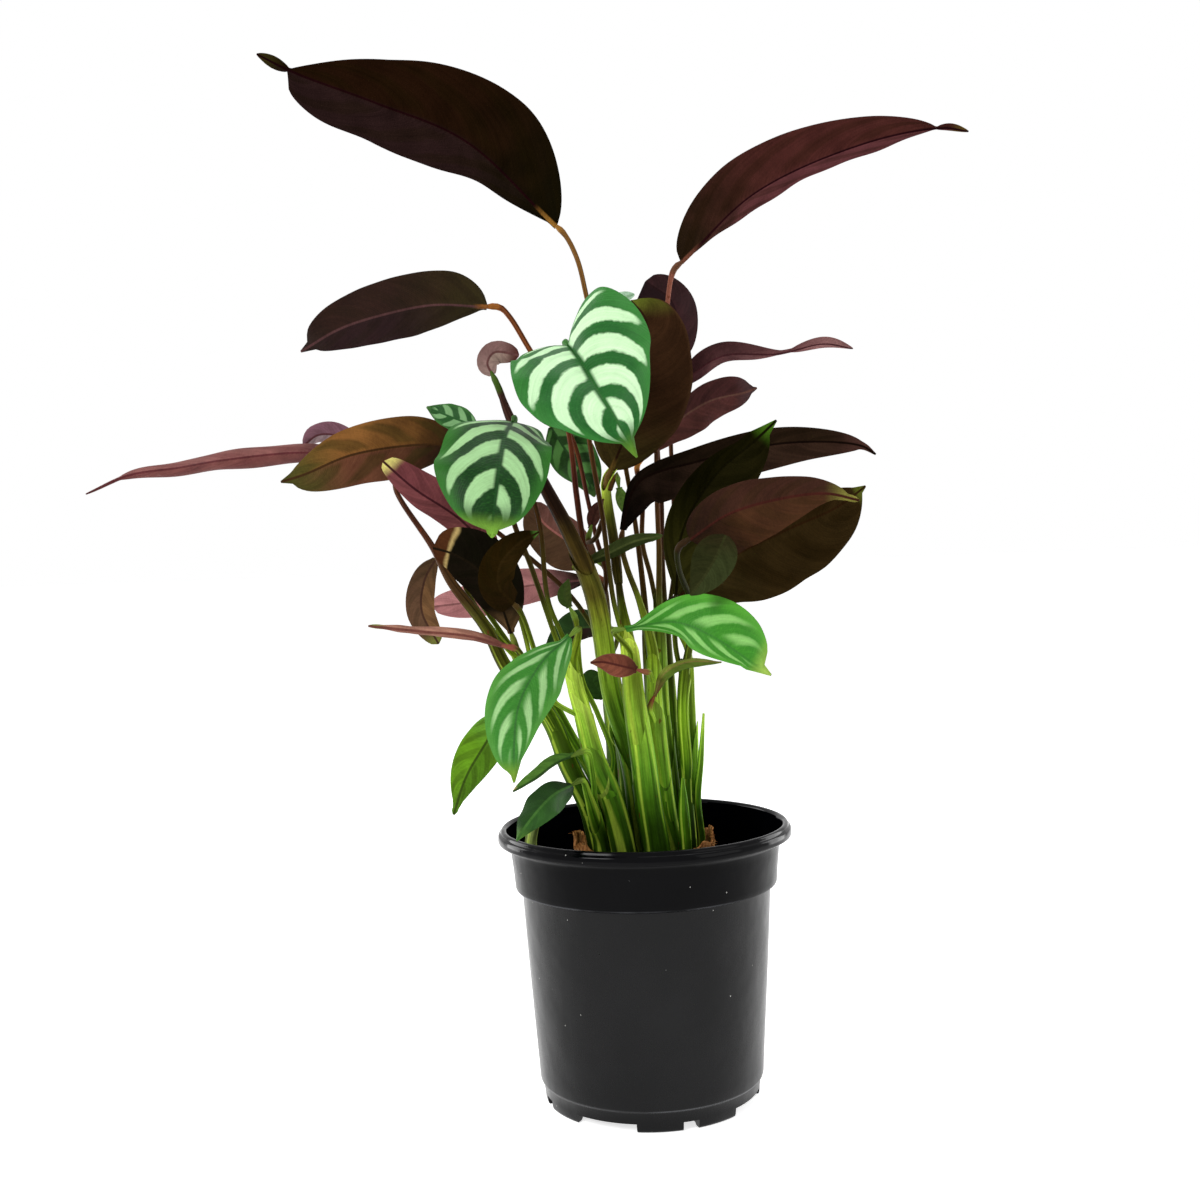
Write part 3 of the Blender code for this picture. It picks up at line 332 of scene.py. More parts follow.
LEAVES = {
    "leaf_tall_left": Leaf(
        [(-30, 10, 387), (-70, 30, 431), (-114, 52, 456.5), (-156, 70, 478), (-174, 76, 489)],
        half(29, 0.29, 0.55, 0.8, 10, -10), half(21, 0.6, 1.0, 0.25, 10, 10), (150, 160), 0.1,
        plain((28, 14, 6), (33, 20, 19), (20, 14, 3), (24, 6, 8), base=(15, 12, 4), tip=(44, 38, 14),
        root=(134, 94, 40), bands=0.35, count=4.5, lean=0.34, to_tip=0.88, gloss=0.0), neck=(1.4, 2.4),
        joint=(5, OCHRE)),
    "leaf_tall_right": Leaf(
        [(26, 20, 371), (63, 42, 406.5), (121, 70, 435), (163, 92, 446.5), (177, 98, 446)],
        half(14, 0.4, 1.1, 0.7, 42), half(18.5, 0.3, 0.42, 0.7, 20, -10), (-150, -150), 0.1,
        plain((90, 50, 52), (74, 38, 34), (34, 22, 8), (34, 10, 14), base=(40, 28, 17),
        tip=(90, 70, 34), root=(110, 66, 50), bands=0.35, count=4.5, lean=0.34, to_tip=0.92, gloss=0.0),
        neck=(1.2, 1.8), joint=(9, (92, 60, 42))),
    "leaf_upper_left": Leaf(
        [(-61, -5, 350), (-83, -15, 350), (-101, -25, 345.5), (-120, -36, 338), (-135, -44, 328)],
        half(14.5, 0.25, 0.5, 0.3, 5), half(12.5, 0.45, 0.9, 0.45, 5), (155, 155), 0.06,
        plain((44, 26, 20), (44, 26, 27), (34, 22, 12), (84, 54, 54), base=(48, 40, 18),
        tip=(46, 34, 30), root=(140, 86, 40), bands=0.35, from_base=0.55, gloss=0.05), neck=(4.0, 0.0),
        joint=(7, (150, 92, 42))),
    "leaf_rolled_far_left": Leaf(
        [(-112, 16, 284), (-131, 24, 289), (-151, 32, 292), (-192, 50, 291), (-219, 66, 289),
         (-247, 80, 287), (-272, 90, 279)],
        *both(7, 0.3, 0.5, 0.4, 10, 70), (180, 180), 0.12,
        plain((128, 82, 78), (112, 66, 62), (92, 48, 50), (84, 40, 42), base=(70, 41, 38),
        tip=(190, 176, 150), bands=0.4, to_tip=0.94), joint=(10, BROWN_JOINT)),
    "leaf_olive_left": Leaf(
        [(-72, -12, 290), (-93, -22, 290), (-118, -32, 286), (-136, -42, 278), (-145, -46, 275)],
        half(12.5, 0.35, 0.6, 0.5, 0, 10), half(14, 0.5, 0.7, 0.45, 0, 10), (165, 165), 0.05,
        # Its near-black base, where it runs behind the next leaf, is painted shade.
        plain((132, 88, 44), (114, 70, 50), (58, 50, 18), (66, 42, 20), base=(34, 22, 10),
        tip=(78, 76, 32), bands=0.55, count=4.0, from_base=0.58, to_tip=0.62, gloss=0.04),
        neck=(3.6, 0.0), joint=(9, BROWN_JOINT), slot="leaf_olive"),
    "leaf_curl_left": Leaf(
        [(-127, 42, 295), (-135, 44, 300), (-146, 45, 301), (-153, 44, 296)],
        *both(6, 0.5, 0.5, 0.5, 0, 50), (150, 150), 0,
        plain((120, 82, 94), (164, 136, 142), (90, 60, 66), (90, 50, 56))),
    "leaf_mauve_left": Leaf(
        [(-60, -5, 240), (-75, -20, 258), (-92, -34, 271), (-103, -44, 282)],
        half(10, 0.4, 0.6, 0.35, 10), half(7, 0.4, 0.6, 0.35, 10), (180, 170), 0,
        plain((124, 66, 69), (128, 70, 72), (64, 32, 34), (64, 26, 32), tip=(240, 228, 132), to_tip=0.9,
        gloss=0.03), joint=(8, ROSE)),
    "leaf_striped_high": Leaf(
        [(-26, -28, 329), (-21, -50, 320), (-14, -70, 305), (-7, -80, 292), (0, -82, 278)],
        half(32, 0.38, 0.36, 0.72, (50, 5), -15), half(30.5, 0.5, 0.38, 0.72, (45, 5), -15), (5, -5),
        0.08,
        striped((208, 246, 196), (34, 92, 38), (52, 118, 50), (100, 142, 46), (44, 96, 42), bands=4.4,
        lean=0.42, soft=0.1, threshold=-0.3), neck=(5.0, 0.0), joint=(7, (60, 110, 50)),
        slot="leaf_striped"),
    "leaf_striped_middle": Leaf(
        [(-49, -50, 296), (-51, -75, 288), (-53, -92, 272), (-55, -97, 257), (-56, -95, 249)],
        half(19, 0.58, 0.28, 0.42, 5, -15), half(25, 0.6, 0.5, 0.42, 5, -20), (0, 0), 0.05,
        striped((160, 204, 144), (20, 54, 20), (48, 104, 38), (124, 172, 60), (28, 66, 28), bands=4.2,
        lean=0.4, soft=0.08), neck=(3.6, 0.8), joint=(7, (60, 100, 46)), slot="leaf_striped"),
    "leaf_striped_small": Leaf(
        [(-65, -34, 296), (-75, -32, 300), (-86, -30, 305)],
        *both(6), (20, 20), 0,
        striped((122, 168, 112), (36, 80, 36), (54, 104, 46), (70, 112, 52), (40, 84, 40), bands=3.4,
        soft=0.15), slot="leaf_striped"),
    "leaf_scorched": Leaf(
        [(-54, -30, 209), (-58, -34, 222), (-66, -38, 236), (-76, -37, 243), (-85, -35, 246)],
        half(15, 0.55, 0.8, 0.4, 5), half(10, 0.55, 0.8, 0.4, 5), (175, 165), 0,
        # Its near-black halves are the leaf's dark green deepened into painted shade.
        plain((18, 15, 9), (22, 17, 11), (12, 13, 5), (26, 20, 12), base=(100, 76, 50),
        tip=(70, 40, 22), halo=(168, 144, 92), from_base=0.26, to_tip=0.87, gloss=0.0),
        joint=(6, (110, 120, 48)), slot="leaf_olive"),
    "leaf_olive_hooked": Leaf(
        [(-52, -45, 222), (-57, -52, 229), (-56, -57, 238), (-49, -56, 246), (-40, -52, 251)],
        half(7, 0.4, 0.2, 0.8, 0), half(8, 0.4, 0.2, 0.8, 0), (200, 200), 0,
        plain((42, 30, 10), (36, 25, 6), (28, 24, 6), (44, 32, 12), base=(40, 28, 12),
        tip=(100, 156, 64), to_tip=0.9, gloss=0.0), joint=(5, (80, 62, 30)), slot="leaf_olive"),
    "leaf_umber_back": Leaf(
        [(-9, 2, 278), (0, -5, 298), (8, -8, 322), (8, -4, 342), (2, 4, 352)],
        half(22, 0.5, 0.5, 0.6, 5, 20), half(26, 0.5, 0.5, 0.6, 5, 30), (180, 180), 0,
        plain((54, 34, 20), (48, 30, 17), (34, 21, 12), (44, 26, 16), base=(62, 52, 24),
        tip=(92, 100, 34), edge=(66, 44, 28), root=(96, 74, 34), to_tip=0.82, gloss=0.0),
        joint=(9, (110, 84, 40)), slot="leaf_olive"),
    "leaf_plum_behind": Leaf(
        [(18, 36, 325), (24, 40, 341), (22, 42, 357), (10, 40, 366.5)],
        half(10, 0.6, 0.5, 0.35, 0), half(16, 0.75, 0.5, 0.3, 0), (180, 180), 0,
        plain((50, 28, 30), (34, 18, 21), (24, 13, 14), (34, 15, 17), gloss=0.05), joint=(8, ROSE)),
    "leaf_twisted_right": Leaf(
        [(25, 57, 319), (33, 62, 326), (48, 72, 335), (77, 88, 337), (102, 102, 343), (118, 110, 341)],
        half(6, 0.3, 0.6, 1.0, 10, 10), half(7, 0.3, 0.5, 1.0, 10, 10), (-150, -120), 0.34,
        plain((136, 92, 93), (118, 76, 77), (78, 44, 47), (70, 36, 40), base=(50, 26, 29),
        tip=(148, 106, 104), from_base=0.75, to_tip=0.6, gloss=0.0), neck=(2.0, 3.4), joint=(9, ROSE)),
    "leaf_plum_right": Leaf(
        [(7, 30, 285), (20, 34, 299), (38, 38, 310), (55, 44, 314), (61, 45, 316)],
        half(12, 0.55, 0.9, 0.5), half(9, 0.8, 1.3, 0.35), (-160, -150), 0.04,
        plain((94, 52, 50), (82, 46, 46), (44, 28, 26), (112, 74, 66), base=(88, 46, 38),
        tip=(84, 60, 62)), joint=(9, (186, 118, 56))),
    "leaf_dark_right": Leaf(
        [(-5, -5, 251), (-3, -5, 261), (3, -5, 272), (30, 4, 280.5), (72, 24, 288.5), (109, 42, 287),
         (116, 45, 283)],
        half(14, 0.25, 0.7, 0.5, 10), half(7.5, 0.6, 0.9, 0.45, 10), (-175, -165), 0.05,
        plain((60, 41, 32), (43, 30, 20), (11, 9, 3), (22, 12, 8), base=(18, 13, 10), tip=(78, 50, 44),
        from_base=0.6, gloss=0.0), neck=(3.0, 0.0), joint=(9, BROWN_JOINT)),
    "leaf_olive_right": Leaf(
        [(16, -30, 223), (19, -38, 249), (33, -46, 272), (49, -50, 285), (58, -50, 293)],
        half(20, 0.45, 0.8, 0.6, 10), half(8.5, 0.45, 0.9, 0.8, 10), (180, 180), 0.06,
        plain((28, 25, 8), (22, 20, 4), (12, 12, 2), (18, 16, 4), base=(48, 47, 16), tip=(78, 122, 30),
        bands=0.4, count=5.5, lean=0.3, from_base=0.55, to_tip=0.86, gloss=0.0), neck=(4.0, 0.0),
        joint=(9, (42, 38, 15)), slot="leaf_olive"),
    "leaf_broad_right": Leaf(
        [(18, -8, 221), (39, -8, 236), (65, -4, 248), (90, 2, 258), (104, 8, 267)],
        half(26, 0.5, 0.55, 0.6, 5), half(16, 0.5, 0.7, 0.7, 5), (-170, -170), 0.03,
        plain((50, 37, 17), (48, 34, 15), (28, 18, 4), (46, 28, 12), base=(54, 46, 22),
        tip=(92, 100, 34), bands=0.35, count=4.0, to_tip=0.93, gloss=0.0), neck=(3.0, 0.0),
        joint=(9, (42, 36, 17)), slot="leaf_olive"),
    "leaf_russet_right": Leaf(
        [(20, -75, 246), (34, -84, 255), (53, -96, 260), (69, -106, 261), (80, -110, 258)],
        half(17, 0.16, 0.4, 1.1, 5), half(10, 0.3, 0.35, 0.6, 5), (-165, -165), 0.05,
        plain((66, 40, 24), (57, 33, 24), (44, 30, 12), (60, 26, 20), base=(40, 24, 16),
        tip=(142, 138, 64), bands=0.35, to_tip=0.82), joint=(9, (46, 32, 18))),
    "leaf_striped_right": Leaf(
        [(-6, -45, 210), (13, -60, 213), (27, -80, 208), (40, -94, 199), (47, -100, 194)],
        half(16, 0.72, 1.25, 0.36, 5, -10), half(8.5, 0.55, 1.2, 0.85, 5, -10), (20, 10), 0.06,
        striped((146, 204, 114), (56, 128, 36), (80, 154, 48), (170, 204, 90), (54, 116, 40), lean=0.42,
        contrast=0.8, soft=0.35, threshold=0.05, inner=(0.05, 0.3), outer=(0.92, 0.62)),
        neck=(3.4, 0.0), slot="leaf_striped"),
    "leaf_striped_low": Leaf(
        [(-29, -50, 208), (-40, -62, 199), (-49, -75, 184), (-51, -88, 168), (-51, -95, 156)],
        half(13, 0.4, 0.6, 0.9, 5, -15), half(13, 0.55, 1.5, 0.5, 5, -15), (0, 0), 0.05,
        striped((178, 224, 154), (60, 128, 47), (84, 150, 61), (126, 164, 54), (56, 108, 48), lean=0.42,
        contrast=0.8, soft=0.35, threshold=0.1, inner=(0.05, 0.3), outer=(0.92, 0.62)), neck=(2.4, 0.0),
        slot="leaf_striped"),
    "leaf_lime_low": Leaf(
        [(-57, -46, 178), (-63.5, -55, 167.5), (-72, -64, 154), (-77, -70, 140)],
        half(9), half(8), (180, 180), 0.05,
        plain((100, 148, 32), (84, 128, 30), (56, 76, 20), (58, 80, 24), base=(110, 172, 66),
        tip=(92, 136, 36), bands=0.45), slot="leaf_lime"),
    "leaf_rolled_low": Leaf(
        [(-29, -42, 158), (-36, -46, 156), (-46, -52, 150), (-54, -56, 146)],
        *both(4, 0.4, 0.6, 0.6, 20, 60), (150, 150), 0,
        plain((84, 126, 50), (60, 90, 38), (50, 80, 34), (50, 80, 36), tip=(200, 180, 130),
        to_tip=0.92), slot="leaf_lime"),
    "leaf_arching_low": Leaf(
        [(-30, -50, 147), (-38, -60, 144.5), (-47, -70, 136.5), (-52, -76, 130)],
        half(7, 0.35, 0.5, 0.9, -10, -20), half(8, 0.4, 0.6, 0.9, -10, -20), (30, 20), 0,
        plain((44, 84, 30), (34, 66, 24), (28, 56, 22), (62, 104, 42), base=(22, 42, 18),
        tip=(84, 130, 48), from_base=0.3, gloss=0.1), slot="leaf_striped"),
    "leaf_purple_small": Leaf(
        [(-1.5, -28, 191.5), (-9, -33, 194), (-16, -37, 196), (-21, -38, 196)],
        *both(5), (0, 0), 0,
        plain((146, 84, 64), (136, 76, 58), (84, 46, 38), (84, 40, 34), base=(84, 48, 36),
        tip=(150, 104, 76), edge=(150, 100, 78)), joint=(5, (140, 84, 62))),
    "leaf_rolled_pink": Leaf(
        [(-56, -40, 204), (-70, -44, 209), (-90, -48, 212), (-111, -50, 215)],
        *both(3, 0.3, 0.5, 0.5, 10, 60), (170, 170), 0.1,
        plain((180, 130, 110), (168, 116, 98), (114, 68, 60), (112, 66, 58), base=(128, 78, 66),
        tip=(150, 170, 86), to_tip=0.86), joint=(5, ROSE)),
    "leaf_hanging": Leaf(
        [(-89, 10, 241), (-94.5, 12, 232), (-96.5, 12, 218), (-89, 8, 203)],
        half(6, 0.5, 0.5, 0.4, 0), half(7, 0.5, 0.5, 0.4, 0), (0, 0), 0,
        plain((112, 80, 52), (92, 66, 48), (52, 40, 26), (64, 42, 32), base=(82, 60, 40),
        tip=(120, 124, 58))),
    "leaf_dusty_back": Leaf(
        [(-21, 40, 229), (-54, 54, 226), (-79, 68, 219.5), (-99, 79, 217)],
        *both(9.5, 0.5, 0.7, 0.33, 0), (165, 165), 0,
        plain((178, 120, 120), (164, 108, 108), (110, 68, 70), (120, 76, 76), base=(34, 26, 20),
        from_base=0.4), joint=(8, ROSE)),
    "leaf_mauve_back": Leaf(
        [(-18, 28, 238), (-30, 34, 247), (-42, 40, 257), (-46, 43, 266)],
        half(10, 0.5, 0.5, 0.5, 0), half(14, 0.4, 0.5, 0.6, 0), (180, 180), 0,
        plain((110, 72, 64), (84, 60, 42), (70, 48, 34), (156, 96, 88), base=(66, 46, 30))),
    "leaf_strap": Leaf(
        [(-22, -9, 237), (-12, -9, 241), (0, -9, 246), (12, -9, 248)],
        half(3.5, 0.5, 0.4, 0.5, 0), half(3, 0.5, 0.4, 0.5, 0), (20, 20), 0.05,
        plain((70, 80, 40), (58, 68, 32), (44, 54, 24), (88, 98, 52), tip=(74, 96, 40)),
        slot="leaf_lime"),
    "leaf_green_back": Leaf(
        [(-14, 44, 205), (-24, 50, 206), (-34, 56, 202), (-43, 60, 197)],
        half(9), half(6), (170, 170), 0,
        plain((38, 64, 28), (42, 28, 22), (26, 38, 18), (50, 72, 34), base=(34, 20, 17)),
        slot="leaf_striped"),
    "leaf_green_bud": Leaf(
        [(-16, 9, 176), (-19, 8, 180), (-21, 7, 185), (-18, 6, 188)],
        *both(5, 0.5, 0.5, 0.5, 0, -20), (0, 0), 0,
        plain((50, 78, 34), (64, 96, 44), (34, 56, 24), (50, 76, 36)), slot="leaf_striped"),
    "leaf_lime_arching": Leaf(
        [(6, -16, 179), (10, -18, 188), (19, -20, 193), (35, -22, 193)],
        *both(4, 0.4, 0.6, 0.7, 0, -20), (-60, -60), 0,
        plain((136, 150, 62), (100, 126, 46), (90, 98, 42), (134, 124, 64), base=(124, 76, 50),
        tip=(112, 138, 54), from_base=0.3), joint=(5, (120, 70, 44)), slot="leaf_lime"),
    "leaf_unfurling": Leaf(
        [(-57, -44, 316), (-59, -42, 321), (-56, -40, 325.5), (-46, -40, 324)],
        *both(5, 0.5, 0.4, 0.4, 0, 20), (180, 180), 0,
        plain((160, 136, 124), (128, 96, 92), (118, 92, 86), (96, 62, 60), base=(150, 124, 116),
        tip=(84, 46, 42), to_tip=0.6), joint=(9, (66, 92, 32))),
    "leaf_striped_back": Leaf(
        [(-36, 30, 300), (-29, 32, 288), (-21, 31, 277), (-17, 30, 267)],
        half(12), half(9.5), (0, 0), 0,
        striped((86, 134, 68), (30, 56, 22), (46, 88, 34), (70, 100, 44), (36, 64, 30), bands=3.6,
        contrast=0.8, soft=0.15), slot="leaf_striped"),
    "leaf_stem_small": Leaf(
        [(-29, -30, 219), (-31, -32, 224), (-29, -32, 231)],
        *both(3), (0, 0), 0,
        plain((60, 80, 32), (72, 88, 38), (42, 56, 24), (64, 80, 36)), slot="leaf_lime"),
    "leaf_hanging_small": Leaf(
        [(-6, 4, 270), (-5, 5, 264), (-4, 5, 258)],
        half(3), half(2.5), (0, 0), 0,
        plain((112, 146, 64), (124, 152, 74), (84, 112, 48), (110, 140, 64), tip=(60, 90, 36)),
        slot="leaf_lime"),
    "leaf_plum_small": Leaf(
        [(-19, -6, 252), (-17, -5, 259), (-13, -4, 265)],
        *both(3), (180, 180), 0,
        plain((94, 58, 48), (86, 50, 42), (60, 36, 30), (70, 40, 34))),
    "leaf_russet_fold": Leaf(
        [(32.5, -90, 247), (28, -91, 238), (22.5, -89, 229.5), (18.5, -87, 224.5)],
        half(8, 0.35, 0.45, 0.7, 0, -10), half(9, 0.3, 0.45, 0.8, 0, -10), (20, 10), 0,
        plain((50, 56, 30), (42, 44, 22), (34, 38, 18), (48, 50, 26), base=(44, 40, 22), from_base=0.4,
        gloss=0.0), node="leaf_russet_right"),
    "leaf_mint_behind": Leaf(
        [(-8, -16, 343), (-5, -18, 348), (-1, -18, 350), (3, -18, 351)],
        *both(3.2, 0.4, 0.5, 0.6, 0), (20, 20), 0,
        plain((186, 222, 190), (196, 230, 200), (150, 196, 156), (150, 190, 150)),
        node="leaf_striped_high"),
}

# ---------------------------------------------------------------- the stalks, in millimetres

# Height and colour up a stalk: dull at the soil, bright green in the middle, brown near the leaves.
DARK_FOOT = ((112, (24, 40, 6)), (140, (48, 80, 12)), (168, (88, 120, 24)))
DARK = DARK_FOOT + ((195, (76, 84, 22)), (225, (60, 42, 18)), (260, (72, 38, 24)), (320, (104, 64, 40)))
GOLD = DARK_FOOT + ((195, (84, 84, 24)), (225, (76, 52, 20)), (270, (84, 54, 24)), (340, (116, 80, 38)))
AMBER = DARK_FOOT + ((195, (76, 80, 22)), (225, (68, 42, 18)), (270, (78, 36, 26)), (320, (122, 68, 36)))
GREEN = ((112, (32, 54, 8)), (132, (60, 102, 14)), (150, (94, 148, 36)), (172, (140, 184, 54)),
         (195, (124, 152, 34)), (222, (70, 68, 22)), (255, (70, 46, 20)), (320, (108, 72, 36)))
LIME = ((112, (42, 70, 10)), (130, (84, 134, 24)), (148, (120, 172, 48)), (170, (164, 206, 70)),
        (195, (144, 174, 44)), (225, (84, 80, 28)), (255, (84, 48, 26)), (320, (116, 70, 42)))
ROSY = ((112, (40, 64, 10)), (130, (78, 124, 22)), (165, (124, 168, 50)), (195, (104, 132, 42)),
        (225, (84, 68, 28)), (270, (92, 50, 32)), (320, (132, 78, 62)))
PURPLE = ((112, (34, 56, 8)), (135, (62, 106, 16)), (165, (114, 164, 44)), (190, (158, 198, 58)),
          (214, (134, 140, 44)), (236, (92, 74, 30)), (256, (54, 34, 18)), (278, (46, 25, 20)),
          (310, (84, 54, 46)))
OLIVE = ((112, (32, 54, 8)), (140, (60, 100, 14)), (168, (120, 160, 34)), (195, (84, 96, 26)),
         (216, (44, 46, 16)), (250, (32, 32, 13)), (320, (60, 44, 22)))
PALE = ((80, (136, 156, 84)), (120, (164, 184, 104)), (140, (104, 136, 58)))

# Colour of the mouth of a sheath, and how strong it is.
PLAIN_MOUTH = (GREEN_JOINT, 0.1)

# name: colours, mouth of its sheaths, main stalk as (x, y, z, radius) points, the leaf it ends at,
# and the petioles that branch off it, each as its points and its leaf.
SHOOTS = {
    "shoot_01": (LIME, PLAIN_MOUTH,
        [(-17, -13, 94.3, 3.8), (-18, -14, 110, 4.0), (-19, -16, 118, 3.3), (-21, -21, 126, 2.9),
         (-24, -33, 140, 2)],
        "leaf_arching_low", [
         ([(-20.5, -19, 122), (-22, -30, 150)], "leaf_rolled_low")]),
    "shoot_02": (DARK, PLAIN_MOUTH,
        [(-18.5, -4, 94.3, 4.2), (-20, -6, 110, 4.5), (-24, -13, 131, 4.2), (-32, -17, 150, 3.8),
         (-40, -21, 172, 3.2), (-57, -24, 194, 2.8), (-65, -22, 211, 2.5), (-80, -14, 231, 2.2),
         (-88, -8, 246, 1.8), (-105, 6, 272, 1.6)],
        "leaf_rolled_far_left", [
         ([(-39, -20.5, 170), (-43, -26, 182)], "leaf_scorched"),
         ([(-39, -20.5, 170), (-48, -32, 186)], "leaf_rolled_pink"),
         ([(-36, -19, 162), (-43, -32, 177), (-51, -39, 185)], "leaf_lime_low")]),
    "shoot_03": (GREEN, PLAIN_MOUTH,
        [(-10, -6.5, 94.3, 3.3), (-11.5, -7.5, 110, 3.5), (-15, -7, 124, 3), (-21, -9, 143, 2.6),
         (-30, -10, 160, 2.2), (-39, -12, 178, 2.1), (-47, -15, 191, 2.1), (-62, -14, 208, 1.8),
         (-74, -8, 227, 1.6), (-78, -4, 245, 1.6), (-78, -2, 266, 1.6), (-72, -8, 286, 1.6)],
        "leaf_olive_left", [
         ([(-46, -14.5, 189.5), (-55, -9, 201), (-71, -2, 225), (-81, 5, 240)], "leaf_hanging"),
         ([(-46, -14.5, 189.5), (-49, -9, 205), (-54, -5, 225)], "leaf_mauve_left")]),
    "shoot_04": (GREEN, ((180, 206, 84), 0.6),
        [(-8, -17, 94.3, 4.8), (-9, -19, 110, 5.1), (-14, -20, 135, 4.6), (-20, -22, 151, 4.2),
         (-25, -25, 173, 3.4), (-29, -30, 195, 2.6), (-26, -38, 206, 1.9)],
        "leaf_striped_low", [
         ([(-28, -28.5, 188), (-34, -33, 203), (-41, -36, 226), (-45, -38, 239), (-51, -41, 257),
           (-53, -40, 280)], "leaf_striped_middle"),
         ([(-28, -28.5, 188), (-32, -28, 205), (-38, -29, 222), (-40, -30, 251), (-42, -31, 262),
           (-49, -32, 281)], "leaf_striped_small"),
         ([(-24.5, -24.5, 171), (-39, -33, 182), (-44, -40, 202)], "leaf_olive_hooked"),
         ([(-16, -20.5, 140), (-13, -15, 152), (-19, -20, 173), (-25, -23, 188)], "leaf_stem_small")]),
    "shoot_05": (PURPLE, PLAIN_MOUTH,
        [(-1, -7, 94.3, 4.2), (-1, -8, 110, 4.5), (-2, -8, 124, 4.5), (-5, -9, 151, 4.3),
         (-12, -9, 177, 4.1), (-14, -10, 190, 4.1), (-15, -11, 203, 4.1), (-19, -12, 226, 4.0),
         (-28, -20, 250, 3.4), (-39, -30, 273, 2.7), (-50.5, -36, 298, 2.2)],
        "leaf_unfurling", [
         ([(-22, -15, 233), (-24.5, -10, 236)], "leaf_strap")]),
    "shoot_06": (GREEN, ((206, 232, 84), 0.85),
        [(4, -18, 94.3, 5.6), (4.5, -20, 110, 6.0), (2, -20, 130, 5.6), (0, -20, 152, 5.2),
         (-3, -19, 178, 4.4), (-4, -15, 197, 3.4), (-7, -5, 221, 2.0), (-9, 2, 246, 1.8)],
        "leaf_umber_back", [
         ([(-4, -15.5, 195), (-10, -13, 219), (-12, -15, 237), (-14, -18, 258), (-17, -20, 279),
           (-21, -16, 307), (-26, -16, 325)], "leaf_striped_high"),
         ([(-3.5, -17, 190), (-4, -26, 199)], "leaf_striped_right"),
         ([(-10, 1, 269), (-8, 3.5, 274)], "leaf_hanging_small"),
         ([(-14, -17.5, 255), (-17, -12, 248)], "leaf_plum_small")]),
    "shoot_07": (LIME, PLAIN_MOUTH,
        [(11.5, -11, 94.3, 3.6), (13, -12.5, 110, 3.9), (10, -12, 128, 3.7), (8, -11, 150, 3.5),
         (6, -9, 176, 3.2), (6, -7, 198, 2.6), (1, -5.5, 220, 1.8), (-4, -4.5, 235, 1.7)],
        "leaf_dark_right", [
         ([(6, -8.5, 183), (4, -19, 190)], "leaf_purple_small"),
         ([(7, -10, 163), (5, -14, 170)], "leaf_lime_arching")]),
    "shoot_08": (GOLD, PLAIN_MOUTH,
        [(5.3, 2.6, 94.3, 3.3), (6, 3, 110, 3.5), (6, 7, 150, 3.0), (5, 8, 175, 2.6), (4, 8, 202, 2.2),
         (4, 8, 214, 1.9), (2, 9, 242, 1.7), (0, 11, 261, 1.6), (-3, 12, 282, 1.6), (-7, 11, 309, 1.6),
         (-12, 8, 331, 1.6), (-17, 4, 352, 1.6), (-21, 5, 371, 1.6)],
        "leaf_tall_left", []),
    "shoot_09": (AMBER, PLAIN_MOUTH,
        [(-5.3, 2.6, 94.3, 3.7), (-6, 3, 110, 4.0), (-7, 4, 149, 3.6), (-10, 5, 175, 3.2),
         (-14, 6, 202, 2.8), (-17, 6, 225, 2.4), (-22, 4, 243, 1.8), (-25, 6, 268, 1.7),
         (-27, 4, 292, 1.6), (-31, 0, 311, 1.6), (-43, -3, 331, 1.6), (-51, -5, 345, 1.6)],
        "leaf_upper_left", [
         ([(-15.5, 6, 214), (-13, 12, 231), (-17, 16, 249), (-20, 20, 265), (-26, 26, 293),
           (-34, 27, 306)], "leaf_striped_back"),
         ([(-7.5, 4, 150), (-13, 5, 160)], "leaf_green_bud")]),
    "shoot_10": (ROSY, PLAIN_MOUTH,
        [(12.3, -1, 94.3, 3.3), (14, -1, 110, 3.5), (12, 2, 148, 3.2), (10, 2, 175, 2.9),
         (10, 2, 202, 2.5), (10, 3, 216, 1.9), (11, 6, 242, 1.7), (11, 11, 262, 1.6),
         (12, 18, 291, 1.6), (14, 16, 318, 1.6), (18, 13, 348, 1.6)],
        "leaf_tall_right", [
         ([(10, 2, 210), (7, 12, 230), (4, 18, 245), (5, 25, 268)], "leaf_plum_right")]),
    "shoot_11": (DARK, PLAIN_MOUTH,
        [(15, 8, 94.3, 3.2), (17, 9, 110, 3.4), (15, 11, 147, 3.1), (14, 14, 174, 2.8),
         (13, 18, 201, 2.4), (13, 24, 237, 1.7), (14, 34, 265, 1.6), (13, 37, 292, 1.6),
         (14, 36, 312, 1.6)],
        "leaf_plum_behind", [
         ([(13, 18.5, 205), (19, 29, 235), (20, 42, 265), (20, 50, 293)], "leaf_twisted_right")]),
    "shoot_12": (OLIVE, PLAIN_MOUTH,
        [(18, -8, 94.3, 2.4), (20.2, -9, 110, 2.5), (19.3, -6, 131, 2.4), (19.3, -5, 149, 2.3),
         (18.6, -4, 172, 2.1), (20, -8, 188, 2.2), (22, -20, 203, 1.8), (21, -42, 221, 1.7),
         (16, -60, 234, 1.6)],
        "leaf_russet_right", [
         ([(19.5, -6, 183), (16, -14, 199)], "leaf_olive_right")]),
    "shoot_13": (LIME, PLAIN_MOUTH,
        [(20, 3, 94.3, 2.4), (22.5, 3.5, 110, 2.5), (23, 4, 148, 2.1), (23, 4, 175, 2.0),
         (22, 0, 197, 1.8)],
        "leaf_broad_right", []),
    "shoot_14": (DARK, PLAIN_MOUTH,
        [(-12.3, 9, 94.3, 3.6), (-14, 10, 110, 3.8), (-12, 13, 147, 3.2), (-13, 19, 174, 2.9),
         (-15, 27, 195, 2.5), (-13, 33, 212, 2.0)],
        "leaf_dusty_back", [
         ([(-15, 27.5, 196), (-15, 26, 215)], "leaf_mauve_back"),
         ([(-14.5, 25, 190), (-9, 36, 199)], "leaf_green_back"),
         ([(-14.5, 28, 198), (-30, 33, 222), (-60, 36, 250), (-100, 39, 280)], "leaf_curl_left")]),
}

